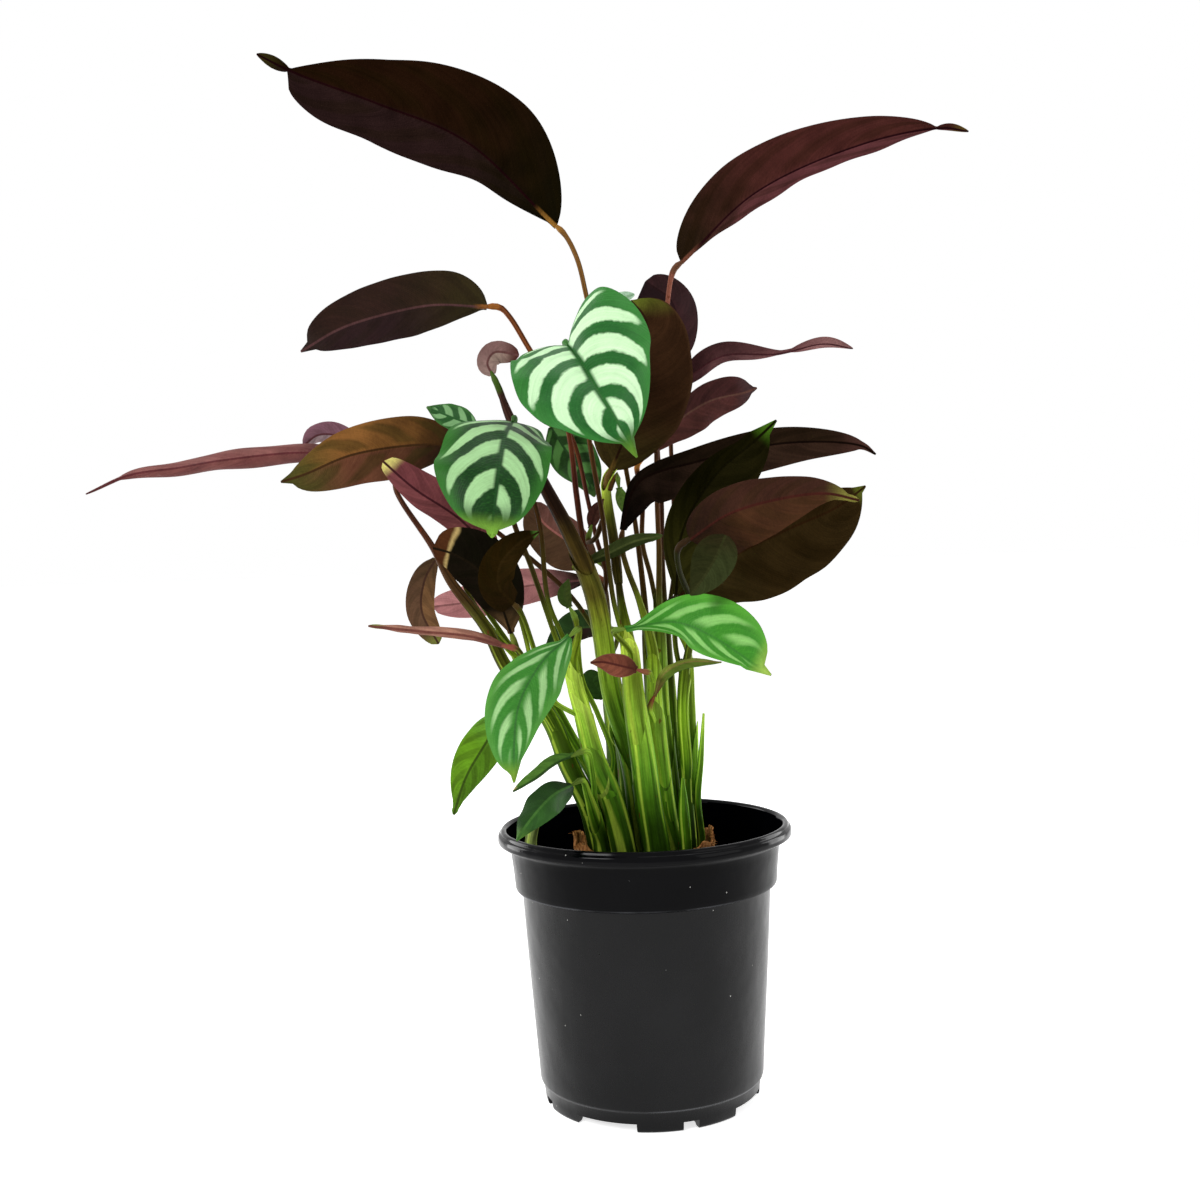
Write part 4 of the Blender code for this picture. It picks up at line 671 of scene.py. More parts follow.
# New leaves still rolled into a spear, as main stalks with a pointed end.
SPEARS = {
    "spear_slender": [(21.5, -2.6, 94.3, 1.8), (25, -3, 110, 1.9), (24, -3, 131, 1.7),
                      (26, -3, 148, 1.3), (28, -2, 169, 0.5)],
    "spear_pointed": [(15.6, -15.6, 94.3, 2.4), (17.5, -17.5, 110, 2.5), (17, -18.5, 129, 2.4),
                      (17, -17, 143, 0.6)],
}
# A pale sprout that rises from the mix at the side of the pot and leans in to the clump.
SPROUT = [(-46, -4, 86, 2.7), (-49.5, -9, 104, 2.7), (-49.5, -12, 118, 2.5), (-46, -15, 129, 2.1),
          (-41, -18, 138, 1.2)]


# ---------------------------------------------------------------- curves, grids and pieces

CURVE_SAMPLES = 400


def curve_through(points, shares):
    """Smooth curve through the points, read at shares (0 to 1) of its own parameter."""
    spots = np.array(points, float)
    steps = np.sqrt(np.linalg.norm(np.diff(spots[:, :3], axis=0), axis=1))
    knots = np.concatenate([[0], np.cumsum(steps)])
    knots /= knots[-1]
    slopes = np.diff(spots, axis=0) / np.diff(knots)[:, None]
    tangents = np.empty_like(spots)
    tangents[0], tangents[-1] = slopes[0], slopes[-1]
    before, after = np.diff(knots)[:-1, None], np.diff(knots)[1:, None]
    tangents[1:-1] = (slopes[:-1] * after + slopes[1:] * before) / (before + after)
    span = np.clip(np.searchsorted(knots, shares, side="right") - 1, 0, len(spots) - 2)
    width = (knots[span + 1] - knots[span])[:, None]
    u = (np.asarray(shares)[:, None] - knots[span][:, None]) / width
    return ((2 * u**3 - 3 * u**2 + 1) * spots[span] + (u**3 - 2 * u**2 + u) * width * tangents[span]
            + (3 * u**2 - 2 * u**3) * spots[span + 1] + (u**3 - u**2) * width * tangents[span + 1])


def travelled(points):
    """Distance along a line of points, from its first."""
    return np.concatenate([[0], np.cumsum(np.linalg.norm(np.diff(points[:, :3], axis=0), axis=1))])


def read_at(places, marks, values):
    """Each column of the values, read at the places between the marks."""
    return np.stack([np.interp(places, marks, column) for column in values.T], -1)


def even_curve(points, count):
    """The same curve, read at count places spaced evenly along its length."""
    fine = curve_through(points, np.linspace(0, 1, CURVE_SAMPLES))
    gone = travelled(fine)
    return read_at(np.linspace(0, gone[-1], count), gone, fine)


def unit(vectors):
    """The same directions, each of length 1."""
    return vectors / np.linalg.norm(vectors, axis=-1, keepdims=True)


def circle(count):
    """Angles spaced evenly over a whole turn."""
    return np.linspace(0, TURN, count, endpoint=False)


def turned(angles, reach, height):
    """Points round +Z, for reaches and heights that spread over the angles."""
    angles, reach, height = np.broadcast_arrays(angles, reach, height)
    return np.stack([reach * np.cos(angles), reach * np.sin(angles), height], -1)


def grid_faces(rows, columns, first=0, flip=False, wrap=False):
    """Quads of a grid of points numbered row by row from first."""
    row, column = np.meshgrid(np.arange(rows - 1), np.arange(columns - (not wrap)), indexing="ij")
    near, after = first + row * columns, (column + 1) % columns
    corners = [near + column, near + after, near + columns + after, near + columns + column]
    return np.stack([corners[index] for index in ((0, 3, 2, 1) if flip else range(4))], -1).reshape(-1, 4)


def strip(upper, lower):
    """Quads between two lines of point numbers."""
    return np.stack([upper[:-1], upper[1:], lower[1:], lower[:-1]], -1)


def show(name, data):
    """A new object in the scene that carries the data."""
    piece = bpy.data.objects.new(name, data)
    bpy.context.scene.collection.objects.link(piece)
    return piece


def plain_object(name, points, faces, scale=MM):
    """An object from points and lists of point numbers."""
    mesh = bpy.data.meshes.new(name)
    mesh.from_pydata((np.asarray(points) * scale).tolist(), [], [list(map(int, face)) for face in faces])
    mesh.update()
    return show(name, mesh)


def smooth(mesh, degrees):
    """Smooth shading, except over edges sharper than so many degrees."""
    mesh.shade_smooth()
    mesh.set_sharp_from_angle(angle=math.radians(degrees))


def mesh_piece(name, points, faces, materials, face_material=None, maps=None):
    """An object with materials and with maps that have a value for each point."""
    piece = plain_object(name, points, faces)
    mesh = piece.data
    for item in materials:
        mesh.materials.append(item)
    if face_material is not None:
        mesh.polygons.foreach_set("material_index", np.asarray(face_material, np.int32))
    corners = np.empty(len(mesh.loops), np.int32)
    mesh.loops.foreach_get("vertex_index", corners)
    for key, values in (maps or {}).items():
        layer = mesh.uv_layers.new(name=key)
        layer.data.foreach_set("uv", np.asarray(values, np.float32)[corners].ravel())
    mesh.update()
    smooth(mesh, 50)
    return piece


def settle(piece, slot, *nodes):
    """Say what the piece rides on and stands for; its slot is not used."""
    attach(piece, "root")
    if nodes:
        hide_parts(*nodes)


# ---------------------------------------------------------------- leaves

BASE_HALF_WIDTH, TIP_HALF_WIDTH = 1.5, 0.4
TAPER_START = 2.2               # where the tip starts to taper, in lengths of the drip tip
DRIP_PINCH = 0.8
LEAF_THICKNESS, MARGIN_THICKNESS = 0.42, 0.16
ROW_SPACING, ROWS = 1.5, (20, 120)
COLUMN_SPACING, HALF_COLUMNS = 1.3, (4, 22)
RIB_HEIGHT, RIB_REACH, RIB_GROOVE = 0.75, 0.85, 0.25
QUILT_HEIGHT, QUILT_SPAN = 0.035, 24        # leaves narrower than the span are quilted less
WAVE_SHARE = 0.06               # height of the margin's waves, as a share of the half width
SLOW_WAVES, QUICK_WAVES, QUICK_SHARE = (1.6, 3.2), (4.0, 6.5), 0.35
QUARTER = math.pi / 2


def outline_reach(share, width, peak, base, tip, drip, neck, swell):
    """Half width of a blade at each share of its length, with its stem end and its drip tip."""
    body = np.clip(share / (1 - drip), 0, 1)
    rising = np.sin(QUARTER * np.clip(body / peak, 0, 1)) ** base
    falling = np.sin(QUARTER * np.clip((1 - body) / (1 - peak), 0, 1)) ** tip
    outline = width * np.where(body < peak, rising, falling)
    in_drip = np.clip((share - 1 + drip) / max(drip, 0.01), 0, 1) * (drip > 0)
    slender = BASE_HALF_WIDTH * (1 - share) ** 2 + TIP_HALF_WIDTH * share
    slender += swell * np.clip(np.sin(math.pi * in_drip), 0, 1) ** DRIP_PINCH
    if drip:
        slender += neck * np.clip((1 - share) / (TAPER_START * drip), 0, 1) * (share > 0.5)
    return np.maximum(outline, slender)[:, None]


def blade_lines(leaf, rows, columns):
    """Points over a blade on its middle surface, base to tip and left margin to right margin,
    and how far each is from the rib."""
    share = np.linspace(0, 1, rows + 1)
    rib = even_curve(leaf.midrib, rows + 1)
    along = unit(np.gradient(rib, axis=0))
    front = np.array([0.0, -1.0, 0.0])
    facing = unit(front - along * (along @ front)[:, None])
    turn = np.radians(leaf.turn[0] + (leaf.turn[1] - leaf.turn[0]) * share)[:, None]
    normal = np.cos(turn) * facing + np.sin(turn) * np.cross(along, facing)
    across = np.cross(along, normal)
    arc_steps = columns // 2
    bands, reaches = [], []
    for side, (*shape, fold, curl) in ((-1, leaf.left), (1, leaf.right)):
        reach = outline_reach(share, *shape, leaf.drip, *leaf.neck)
        folds = fold if isinstance(fold, tuple) else (fold, fold)
        fold_here = np.radians(folds[0] + (folds[1] - folds[0]) * share)[:, None]
        arc = [rib.copy()]
        for step in range(arc_steps):
            lean = fold_here + math.radians(curl) * (step + 0.5) / arc_steps
            arc.append(arc[-1] + reach / arc_steps * (side * np.cos(lean) * across + np.sin(lean) * normal))
        bands.append(arc)
        reaches.append(side * reach * np.linspace(0, 1, arc_steps + 1)[None, :])
    points = np.stack(bands[0][::-1] + bands[1][1:], 1)
    return points, np.concatenate([reaches[0][:, ::-1], reaches[1][:, 1:]], 1)


def surface_normals(grid):
    """Directions out of the surface at the points of a grid."""
    return unit(np.cross(np.gradient(grid, axis=1), np.gradient(grid, axis=0)))


def leaf_faces(name, leaf):
    """Materials of a leaf's top and underside."""
    back = PLUM if leaf.face[0] is striped_face else STRIPED_TOP
    made = [make(f"{name}_{side}", *colours, **more)
            for side, (make, colours, more) in (("front", leaf.face), ("back", back))]
    return made if leaf.faces_front() else made[::-1]


def make_leaf(name, leaf):
    """A blade with its rib and side veins in relief, its margin in slow waves."""
    rng = random.Random(name)
    length = travelled(even_curve(leaf.midrib, 60))[-1]
    span = leaf.left[0] + leaf.right[0]
    rows = int(np.clip(length / ROW_SPACING, *ROWS))
    columns = 2 * int(np.clip(span / COLUMN_SPACING / 2, *HALF_COLUMNS))
    middle, distance = blade_lines(leaf, rows, columns)
    share, cross = np.meshgrid(np.linspace(0, 1, rows + 1), np.linspace(-1, 1, columns + 1), indexing="ij")
    out = np.abs(cross)

    wave = np.zeros_like(share)
    for side in (-1, 1):
        slow, slow_start = rng.uniform(*SLOW_WAVES), rng.uniform(0, TURN)
        quick, quick_start = rng.uniform(*QUICK_WAVES), rng.uniform(0, TURN)
        ripple = (np.sin(TURN * slow * share + slow_start)
                  + QUICK_SHARE * np.sin(TURN * quick * share + quick_start))
        wave += np.where(side * cross > 0, ripple, 0)
    wave *= WAVE_SHARE * span / 2 * out ** 1.8 * np.clip(np.sin(math.pi * share), 0, 1) ** 0.5
    veins = share - LEAN * out ** LEAN_POWER
    quilt = np.cos(TURN * veins * LATERALS / 3 + 0.6 * np.sign(cross)) * QUILT_HEIGHT
    quilt *= np.clip(out * 5, 0, 1) * (1 - out ** 4) * min(1, span / QUILT_SPAN)
    surface = middle + surface_normals(middle) * (wave + quilt)[..., None]
    normal = surface_normals(surface)

    rib = np.exp(-(distance / RIB_REACH) ** 2) * (1 - share) ** 0.7
    thick = MARGIN_THICKNESS + (LEAF_THICKNESS - MARGIN_THICKNESS) * (1 - out ** 3)
    upper = surface + normal * (thick / 2 - RIB_GROOVE * rib)[..., None]
    under = surface - normal * (thick / 2 + RIB_HEIGHT * rib * min(1, span / 20))[..., None]

    number = np.arange(share.size).reshape(share.shape)
    margins = (number[:, 0], number[::-1, -1], number[0, ::-1], number[-1, :])
    skin = [grid_faces(rows + 1, columns + 1), grid_faces(rows + 1, columns + 1, share.size, flip=True)]
    skin += [strip(line, line + share.size) for line in margins]
    metric = np.stack([share * length, distance], -1).reshape(-1, 2)
    shares = np.stack([share, cross / 2 + 0.5], -1).reshape(-1, 2)
    piece = mesh_piece(f"{name}_blade", np.concatenate([upper.reshape(-1, 3), under.reshape(-1, 3)]),
                       np.concatenate(skin), leaf_faces(name, leaf),
                       np.repeat([0, 1, 1, 1, 1, 1], [len(faces) for faces in skin]),
                       {"share": np.tile(shares, (2, 1)), "metric": np.tile(metric, (2, 1))})
    settle(piece, leaf.slot, leaf.node or name)


# ---------------------------------------------------------------- stalks

PULVINUS = 6.0                  # length of the straight joint under a leaf
PETIOLE_RADIUS = 1.6
EMBED, SHY_EMBED = 1.8, 0.2     # how deep a joint runs into a blade, from behind and from its top
STOUT, SLIM = 2.6, 0.5          # tubes thinner than STOUT are drawn thinner still
TUBE_SIDES, TUBE_SPACING, TUBE_RIDGES = 20, 2.2, 0.02
JOINT_SWELL, JOINT_FADE = 0.22, 2.0
COLLAR_SWELL, COLLAR_WIDTH = 0.16, 1.1
DRAWN_LENGTH, DRAWN_RADIUS = 4.0, 0.45      # a joint's last stretch, and what is left of its radius
SHEATH_SIDES, SHEATH_SPACING = 36, 2.0
SHEATH_LIFT, SHEATH_WALL, SHEATH_SINK = 0.55, 0.3, 0.8
SHEATH_BELOW, SHEATH_ABOVE = 42.0, 7.0      # its reach below and above where its petiole parts
SHEATH_SKEW, SHEATH_FLARE = 0.25, 0.3
SIDE_MOUTH, FOOT_MOUTH = 7.0, 15.0          # slant of a sheath's mouth, half way up and at the foot
LOWEST_SHEATH, LOWEST_BRANCH, BRANCH_REACH = 4.0, 26, 4
FOOT_SHEATH_START, FOOT_SHEATH_ENDS, LONG_STALK = 3.0, (50, 66), 80

# Colour of the painted highlight along the stalks, and of their rusty spots.
STALK_HIGHLIGHT, RUSTY_SPOT = (196, 224, 78), (88, 38, 20)
made_paints = {}


def stalk_paint(stops, joint):
    """Colour by height, streaked lengthwise with a painted highlight in the middle, and another colour
    where the joint map says.
    """
    if (stops, joint) in made_paints:
        return made_paints[stops, joint]
    paint = Paint(f"stalk_{len(made_paints):02d}")
    place, height = paint.place()
    swollen, tint, _ = paint.map("joint")
    ring_x, ring_y, _ = paint.map("ring")
    _, along, _ = paint.map("metric")
    low, high = stops[0][0], stops[-1][0]
    blotch = paint.noise(place, 0.06, 3.0) - 0.5
    share = (height + blotch * 34 - low) * (1 / (high - low))
    colour = paint.ramp(share, [((level - low) / (high - low), tone) for level, tone in stops])
    lines = paint.join(ring_x * 3.2, ring_y * 3.2, along * 0.03 + tint * 9)
    streaks = paint.noise(lines, 1.6, 5.0, 0.62)
    broad = paint.noise(lines, 0.45, 1.0)
    colour = paint.mix(broad.between(0.50, 0.62) * 0.75, colour, paint.dim(colour, 0.28))
    hair = paint.noise(paint.stretch(lines, 3.4, 3.4), 1.6, 2.0)
    colour = paint.mix(hair.between(0.58, 0.68) * 0.6, colour, paint.dim(colour, 0.35))
    # Pale yellow-green streaks where the stalks stand clear between pot and leaves: a painted highlight on
    # their lit faces.
    bright = broad.between(0.47, 0.34) * height.between(225, 170) * 0.6
    colour = paint.mix(bright, colour, STALK_HIGHLIGHT)
    colour = paint.mix(swollen, colour, joint)
    grain = paint.noise(place, 0.9, 3.0)
    spots = paint.noise(paint.stretch(place, 1.0, 1.0, 0.4), 0.34, 2.0).between(0.70, 0.74)
    colour = paint.mix(spots * 0.7, colour, RUSTY_SPOT)
    colour = paint.dim(colour, (streaks * 2.4 - 0.17) * (tint * 0.6 + 0.7) * (grain * 0.3 + 0.85))
    paint.bump(streaks * 0.8 + grain * 0.3, 0.25)
    made_paints[stops, joint] = paint.finish(colour, grain * 0.2 + 0.26, gloss=0.02)
    return made_paints[stops, joint]


def line_frames(line):
    """Two directions across a line at each of its points, carried along without twist."""
    along = unit(np.gradient(line[:, :3], axis=0))
    side = np.empty_like(along)
    side[0] = unit(np.cross(along[0], (0.0, -1.0, 0.05)))
    for step in range(1, len(along)):
        side[step] = unit(side[step - 1] - along[step] * (side[step - 1] @ along[step]))
    return side, np.cross(along, side)


def round_line(angles, side, other):
    """Unit directions at the angles round each point of a line."""
    return np.cos(angles)[None, :, None] * side + np.sin(angles)[None, :, None] * other


class Bundle:
    """Closed tubes and shells gathered into one piece, with the maps that stalk_paint reads."""

    def __init__(self):
        self.points, self.faces, self.count = [], [], 0
        self.maps = {"ring": [], "metric": [], "joint": []}
        self.materials, self.face_material = [], []

    def add_rings(self, rings, angles, along, joint, tint, material):
        """A skin through rings of points, shape (rings, sides, 3), with its two ends closed."""
        rows, sides, _ = rings.shape
        number = self.count + np.arange(rows * sides).reshape(rows, sides)
        self.points.append(rings.reshape(-1, 3))
        skin = grid_faces(rows, sides, self.count, wrap=True).tolist()
        skin += [number[0, ::-1].tolist(), number[-1].tolist()]
        self.faces += skin
        if material not in self.materials:
            self.materials.append(material)
        self.face_material += [self.materials.index(material)] * len(skin)
        turn = np.tile(angles, rows)
        for key, pair in (("ring", (np.cos(turn), np.sin(turn))),
                          ("metric", (turn, np.repeat(along, sides))),
                          ("joint", (np.repeat(joint, sides), np.full(turn.size, tint)))):
            self.maps[key].append(np.stack(pair, 1))
        self.count += rows * sides

    def piece(self, name):
        """All that was gathered, as one object."""
        maps = {key: np.concatenate(values) for key, values in self.maps.items()}
        return mesh_piece(name, np.concatenate(self.points), self.faces, self.materials,
                          self.face_material, maps)


def ellipse_rings(line, radii, angles, ridges, rng):
    """Rings round a line: a little flattened, and ribbed lengthwise."""
    side, other = line_frames(line)
    flat_at, flat = rng.uniform(0, math.pi), rng.uniform(0.02, 0.08)
    ribs = 1 + ridges * np.sin(angles * 5 + rng.uniform(0, 6)) + flat * np.cos(2 * (angles - flat_at))
    reach = radii[:, None] * ribs[None, :]
    return line[:, None, :3] + reach[..., None] * round_line(angles, side[:, None], other[:, None])


def stalk_points(points, leaf):
    """A stalk's own points, then the straight joint into its leaf."""
    rib = even_curve(leaf.midrib, 40)
    along = unit(rib[1] - rib[0])
    embed = SHY_EMBED if leaf.faces_front() else EMBED
    joint = [tuple(rib[0] + along * reach) + (PETIOLE_RADIUS,) for reach in (-PULVINUS, embed)]
    return list(points) + joint


def add_tube(bundle, ends, leaf, rng, stops):
    """One stalk, thicker at the joint under its leaf and drawn in where it enters the blade."""
    line = even_curve(ends, max(8, int(travelled(np.array(ends))[-1] / TUBE_SPACING)))
    gone = travelled(line)
    left = gone[-1] - gone
    radii = np.where(line[:, 3] < STOUT, line[:, 3] - SLIM * (STOUT - line[:, 3]), line[:, 3])
    length, joint_colour = leaf.joint
    joint = np.clip((length + EMBED - left) / JOINT_FADE, 0, 1)
    full = np.clip(left / DRAWN_LENGTH, 0, 1)
    collar = COLLAR_SWELL * np.exp(-((left - length - EMBED) / COLLAR_WIDTH) ** 2)
    radii = radii * (1 + JOINT_SWELL * joint * full + collar) * (DRAWN_RADIUS + (1 - DRAWN_RADIUS) * full)
    angles = circle(TUBE_SIDES)
    rings = ellipse_rings(line, radii, angles, TUBE_RIDGES, rng)
    bundle.add_rings(rings, angles, gone, joint, rng.uniform(0.2, 0.8), stalk_paint(stops, joint_colour))


def add_sheath(bundle, line, start, end, bearing, rng, stops, rim, slant):
    """A leaf base wrapped round the stalk between two distances along it: it opens with a slanting
    mouth towards the petiole's bearing, and laps over itself on the far side."""
    gone = travelled(line)
    angles = circle(SHEATH_SIDES)
    side, other = line_frames(line)
    rows = max(6, int((end - start) / SHEATH_SPACING))
    share = np.linspace(0, 1, rows)[:, None]
    mouth = slant * np.cos(angles - bearing)
    distance = start + (end - start) * share + mouth * share ** 2
    lap = np.mod(angles - bearing - math.pi + SHEATH_SKEW * share, TURN) / TURN
    bulge = (SHEATH_LIFT * np.clip(share * 9, 0, 1) * (0.35 + 0.75 * lap)
             + SHEATH_FLARE * share ** 6)

    def ring_points(extra, along):
        radius = read_at(along, gone, line[:, 3:])[..., 0] + extra
        turn = round_line(angles, read_at(along, gone, side), read_at(along, gone, other))
        return read_at(along, gone, line[:, :3]) + radius[..., None] * turn

    inner_rows = max(3, rows // 5)
    inner_along = distance[::-1][:inner_rows]
    inside = np.clip(bulge[::-1][:inner_rows] - SHEATH_WALL, -SHEATH_WALL, None)
    closing = np.full((1, SHEATH_SIDES), -SHEATH_SINK)
    rings = np.concatenate([ring_points(bulge, distance), ring_points(inside, inner_along),
                            ring_points(closing, inner_along[-1:])])
    marks = np.concatenate([distance, inner_along, inner_along[-1:]]).mean(1)
    colour, strength = rim
    pale = strength * np.concatenate([share, share[::-1][:inner_rows + 1]])[:, 0] ** 4
    bundle.add_rings(rings, angles, marks, pale, rng.uniform(0.35, 0.9), stalk_paint(stops, colour))


def make_shoot(name):
    """A main stalk, the sheaths round it, and the petioles that leave it."""
    stops, rim, main, leaf_name, branches = SHOOTS[name]
    rng, bundle = random.Random(name), Bundle()
    ends = stalk_points(main, LEAVES[leaf_name])
    add_tube(bundle, ends, LEAVES[leaf_name], rng, stops)
    line = even_curve(ends, 160)
    gone = travelled(line)
    side, other = line_frames(line)
    for points, branch_leaf in branches:
        petiole = [point + (PETIOLE_RADIUS,) for point in points]
        leaf = LEAVES[branch_leaf]
        add_tube(bundle, stalk_points(petiole, leaf), leaf, rng, stops)
        start = np.array(points[0])
        nearest = int(np.argmin(np.linalg.norm(line[:, :3] - start, axis=1)))
        if (np.linalg.norm(line[nearest, :3] - start) > BRANCH_REACH
                or gone[nearest] < LOWEST_BRANCH):
            continue
        lead = np.array(points[1]) - start
        bearing = math.atan2(lead @ other[nearest], lead @ side[nearest])
        add_sheath(bundle, line, max(LOWEST_SHEATH, gone[nearest] - SHEATH_BELOW),
                   gone[nearest] + SHEATH_ABOVE, bearing, rng, stops, rim, SIDE_MOUTH)
    if gone[-1] > LONG_STALK:
        add_sheath(bundle, line, FOOT_SHEATH_START, rng.uniform(*FOOT_SHEATH_ENDS),
                   rng.uniform(0, 6.28), rng, stops, PLAIN_MOUTH, FOOT_MOUTH)
    settle(bundle.piece(f"{name}_stalk"), "stalk_green", name)


def make_spear(name, points, stops, *nodes):
    """A new leaf rolled to a point, with the edge of its roll running down it."""
    rng, bundle = random.Random(name), Bundle()
    line = even_curve(points, 60)
    angles = circle(SHEATH_SIDES)
    gone = travelled(line)
    roll = np.mod(angles[None, :] + gone[:, None] * 0.03, TURN) / TURN
    rings = ellipse_rings(line, line[:, 3], angles, 0.0, rng)
    middle = line[:, None, :3]
    rings = middle + (rings - middle) * (0.92 + 0.2 * roll)[..., None]
    bundle.add_rings(rings, angles, gone, np.zeros(len(line)), 0.7, stalk_paint(stops, GREEN_JOINT))
    settle(bundle.piece(f"{name}_roll"), "stalk_green", *nodes)


# ---------------------------------------------------------------- pot

# Radius and height down the outside, from the rim's inner edge, round the foot and up the inside.
POT_PROFILE = np.array((
    (60.9, 119.9), (61.3, 120.6), (61.9, 120.95), (62.6, 121.0), (63.1, 120.8), (63.45, 120.4),
    (63.6, 119.9), (63.75, 119.5), (64.1, 119.25), (64.5, 119.0), (64.75, 118.5), (64.9, 117.8),
    (65.0, 116.9), (65.0, 116.2), (64.8, 115.6), (64.4, 115.3), (63.9, 115.3), (63.4, 115.7),
    (62.9, 116.3), (62.4, 116.5), (61.9, 116.3), (61.4, 115.7), (61.0, 114.9), (60.6, 114.2),
    (60.0, 113.6), (59.6, 112.8), (59.3, 110.0), (58.4, 102.0), (58.05, 97.5), (57.9, 95.6),
    (57.6, 94.9), (56.9, 94.6), (55.8, 94.4), (55.15, 93.9), (54.9, 92.6), (54.4, 84.0),
    (53.1, 62.0), (51.4, 36.0), (50.0, 15.0), (49.7, 10.4), (49.4, 9.4), (48.8, 8.9), (48.5, 8.4),
    (47.9, 4.4), (47.6, 1.3), (47.3, 0.4), (46.7, 0.0), (44.0, 0.0), (43.4, 0.4), (42.8, 0.9),
    (30.0, 0.9), (29.4, 0.5), (12.0, 0.5), (11.4, 0.9), (0.0, 0.9),
    (0.0, 2.4), (11.6, 2.4), (29.0, 2.2), (42.6, 2.4), (44.6, 3.0), (46.0, 4.4), (46.8, 8.0),
    (48.3, 14.0), (49.9, 36.0), (51.6, 62.0), (53.0, 84.0), (53.4, 92.0), (54.1, 93.4), (55.6, 94.6),
    (56.4, 96.0), (56.9, 102.0), (57.8, 110.0), (58.1, 112.6), (58.6, 113.9), (59.2, 115.2),
    (59.9, 117.0), (60.4, 118.6), (60.7, 119.4)))
POT_SIDES = 192
POT_WELD = 0.02
DENT_DEPTH = 0.16
RIM_FOOT, STEP_LEVEL, FLOOR_TOP = 113.0, 95.0, 2.0
BAND_REACH, LIP_REACH = 59.8, 60.8
FOOT_RADIUS = 47.0
NOTCH_FIRST, NOTCH_COUNT = -27.0, 8
NOTCH_WIDTHS = (28.0, 7.0)       # wide and narrow ones take turns
NOTCH_HEIGHT, NOTCH_REACH, NOTCH_CLEAR = 3.8, 14.0, 4.0
HIGHLIT_EDGES = ((94.7, 95.3), (9.2, 9.6))     # heights between which an edge carries a pale line: a painted highlight
SCUFF, EDGE_HIGHLIGHT, SPECK = (34, 34, 36), (150, 152, 158), (196, 196, 190)

# name, colour, colour of the bloom, gloss and roughness
BODY, BAND, RIM, INSIDE = range(4)
# The band, rim and inside are darker, duller copies of the body's black plastic: painted shade.
POT_PAINTS = (("pot_body", (4, 4, 5), (14, 14, 15), 0.16, 0.12),
              ("pot_band_shaded", (1, 1, 2), (5, 5, 7), 0.06, 0.1),
              ("pot_rim_shaded", (1, 1, 3), (3, 3, 5), 0.08, -0.06),
              ("pot_inside_shaded", (1, 1, 2), (4, 4, 6), 0.0, 0.6))


def pot_paint(name, base, bloomed, gloss, rough):
    """Smooth black plastic with soft grey bloom, dull scuffs, a few white specks, and a painted highlight
    along two edges.
    """
    paint = Paint(name)
    place, height = paint.place()
    bloom = paint.noise(place, 0.03, 3.0)
    grain = paint.noise(place, 1.3, 4.0)
    scratches = paint.noise(paint.stretch(place, 0.9, 0.9, 0.03), 1.0, 5.0, 0.7)
    cells = paint.add("ShaderNodeTexVoronoi", {"Vector": place, "Scale": 0.15}).outputs
    chance, spread, _ = paint.split(cells["Color"], "ShaderNodeSeparateColor")
    speck = (paint.math("LESS_THAN", cells["Distance"], spread * 0.036 + 0.014)
             * chance.between(0.45, 0.47))
    colour = paint.mix(bloom.between(0.35, 0.75), base, bloomed)
    colour = paint.mix(scratches.between(0.62, 0.82) * 0.2, colour, SCUFF)
    # Pale lines along the step and the foot's chamfer: a painted highlight.
    for low, high in HIGHLIT_EDGES:
        line = height.between(low - 0.3, low) * height.between(high + 0.3, high)
        colour = paint.mix(line * bloom.between(0.3, 0.7) * 0.3, colour, EDGE_HIGHLIGHT)
    colour = paint.mix(speck, colour, SPECK)
    paint.bump(paint.noise(place, 0.05, 2.0) * 5.0 + scratches * 0.2 + grain * 0.08, 0.12)
    return paint.finish(colour, bloom * 0.14 + grain * 0.06 + scratches * 0.1 + speck * 0.4 + rough, gloss)


def pot_shell():
    """The turned shell, a little out of true."""
    angles, reach, height = circle(POT_SIDES)[None, :], POT_PROFILE[:, :1], POT_PROFILE[:, 1:]
    soft = np.sin(3 * angles + 0.8 + height * 0.02) + 0.7 * np.sin(5 * angles - 0.6 - height * 0.035)
    rings = turned(angles, reach + DENT_DEPTH * soft * np.clip(height / 60, 0, 1), height)
    rings[POT_PROFILE[:, 0] == 0, :, :2] = 0
    last = (len(POT_PROFILE) - 1) * POT_SIDES
    around = np.arange(POT_SIDES)
    after = (around + 1) % POT_SIDES
    seam = np.stack([after, last + after, last + around, around], -1)
    faces = grid_faces(len(POT_PROFILE), POT_SIDES, wrap=True, flip=True)
    shell = plain_object("pot_shell", rings.reshape(-1, 3), np.concatenate([faces, seam]))
    build = bmesh.new()
    build.from_mesh(shell.data)
    bmesh.ops.remove_doubles(build, verts=build.verts, dist=POT_WELD * MM)
    bmesh.ops.recalc_face_normals(build, faces=build.faces)
    build.to_mesh(shell.data)
    build.free()
    return shell


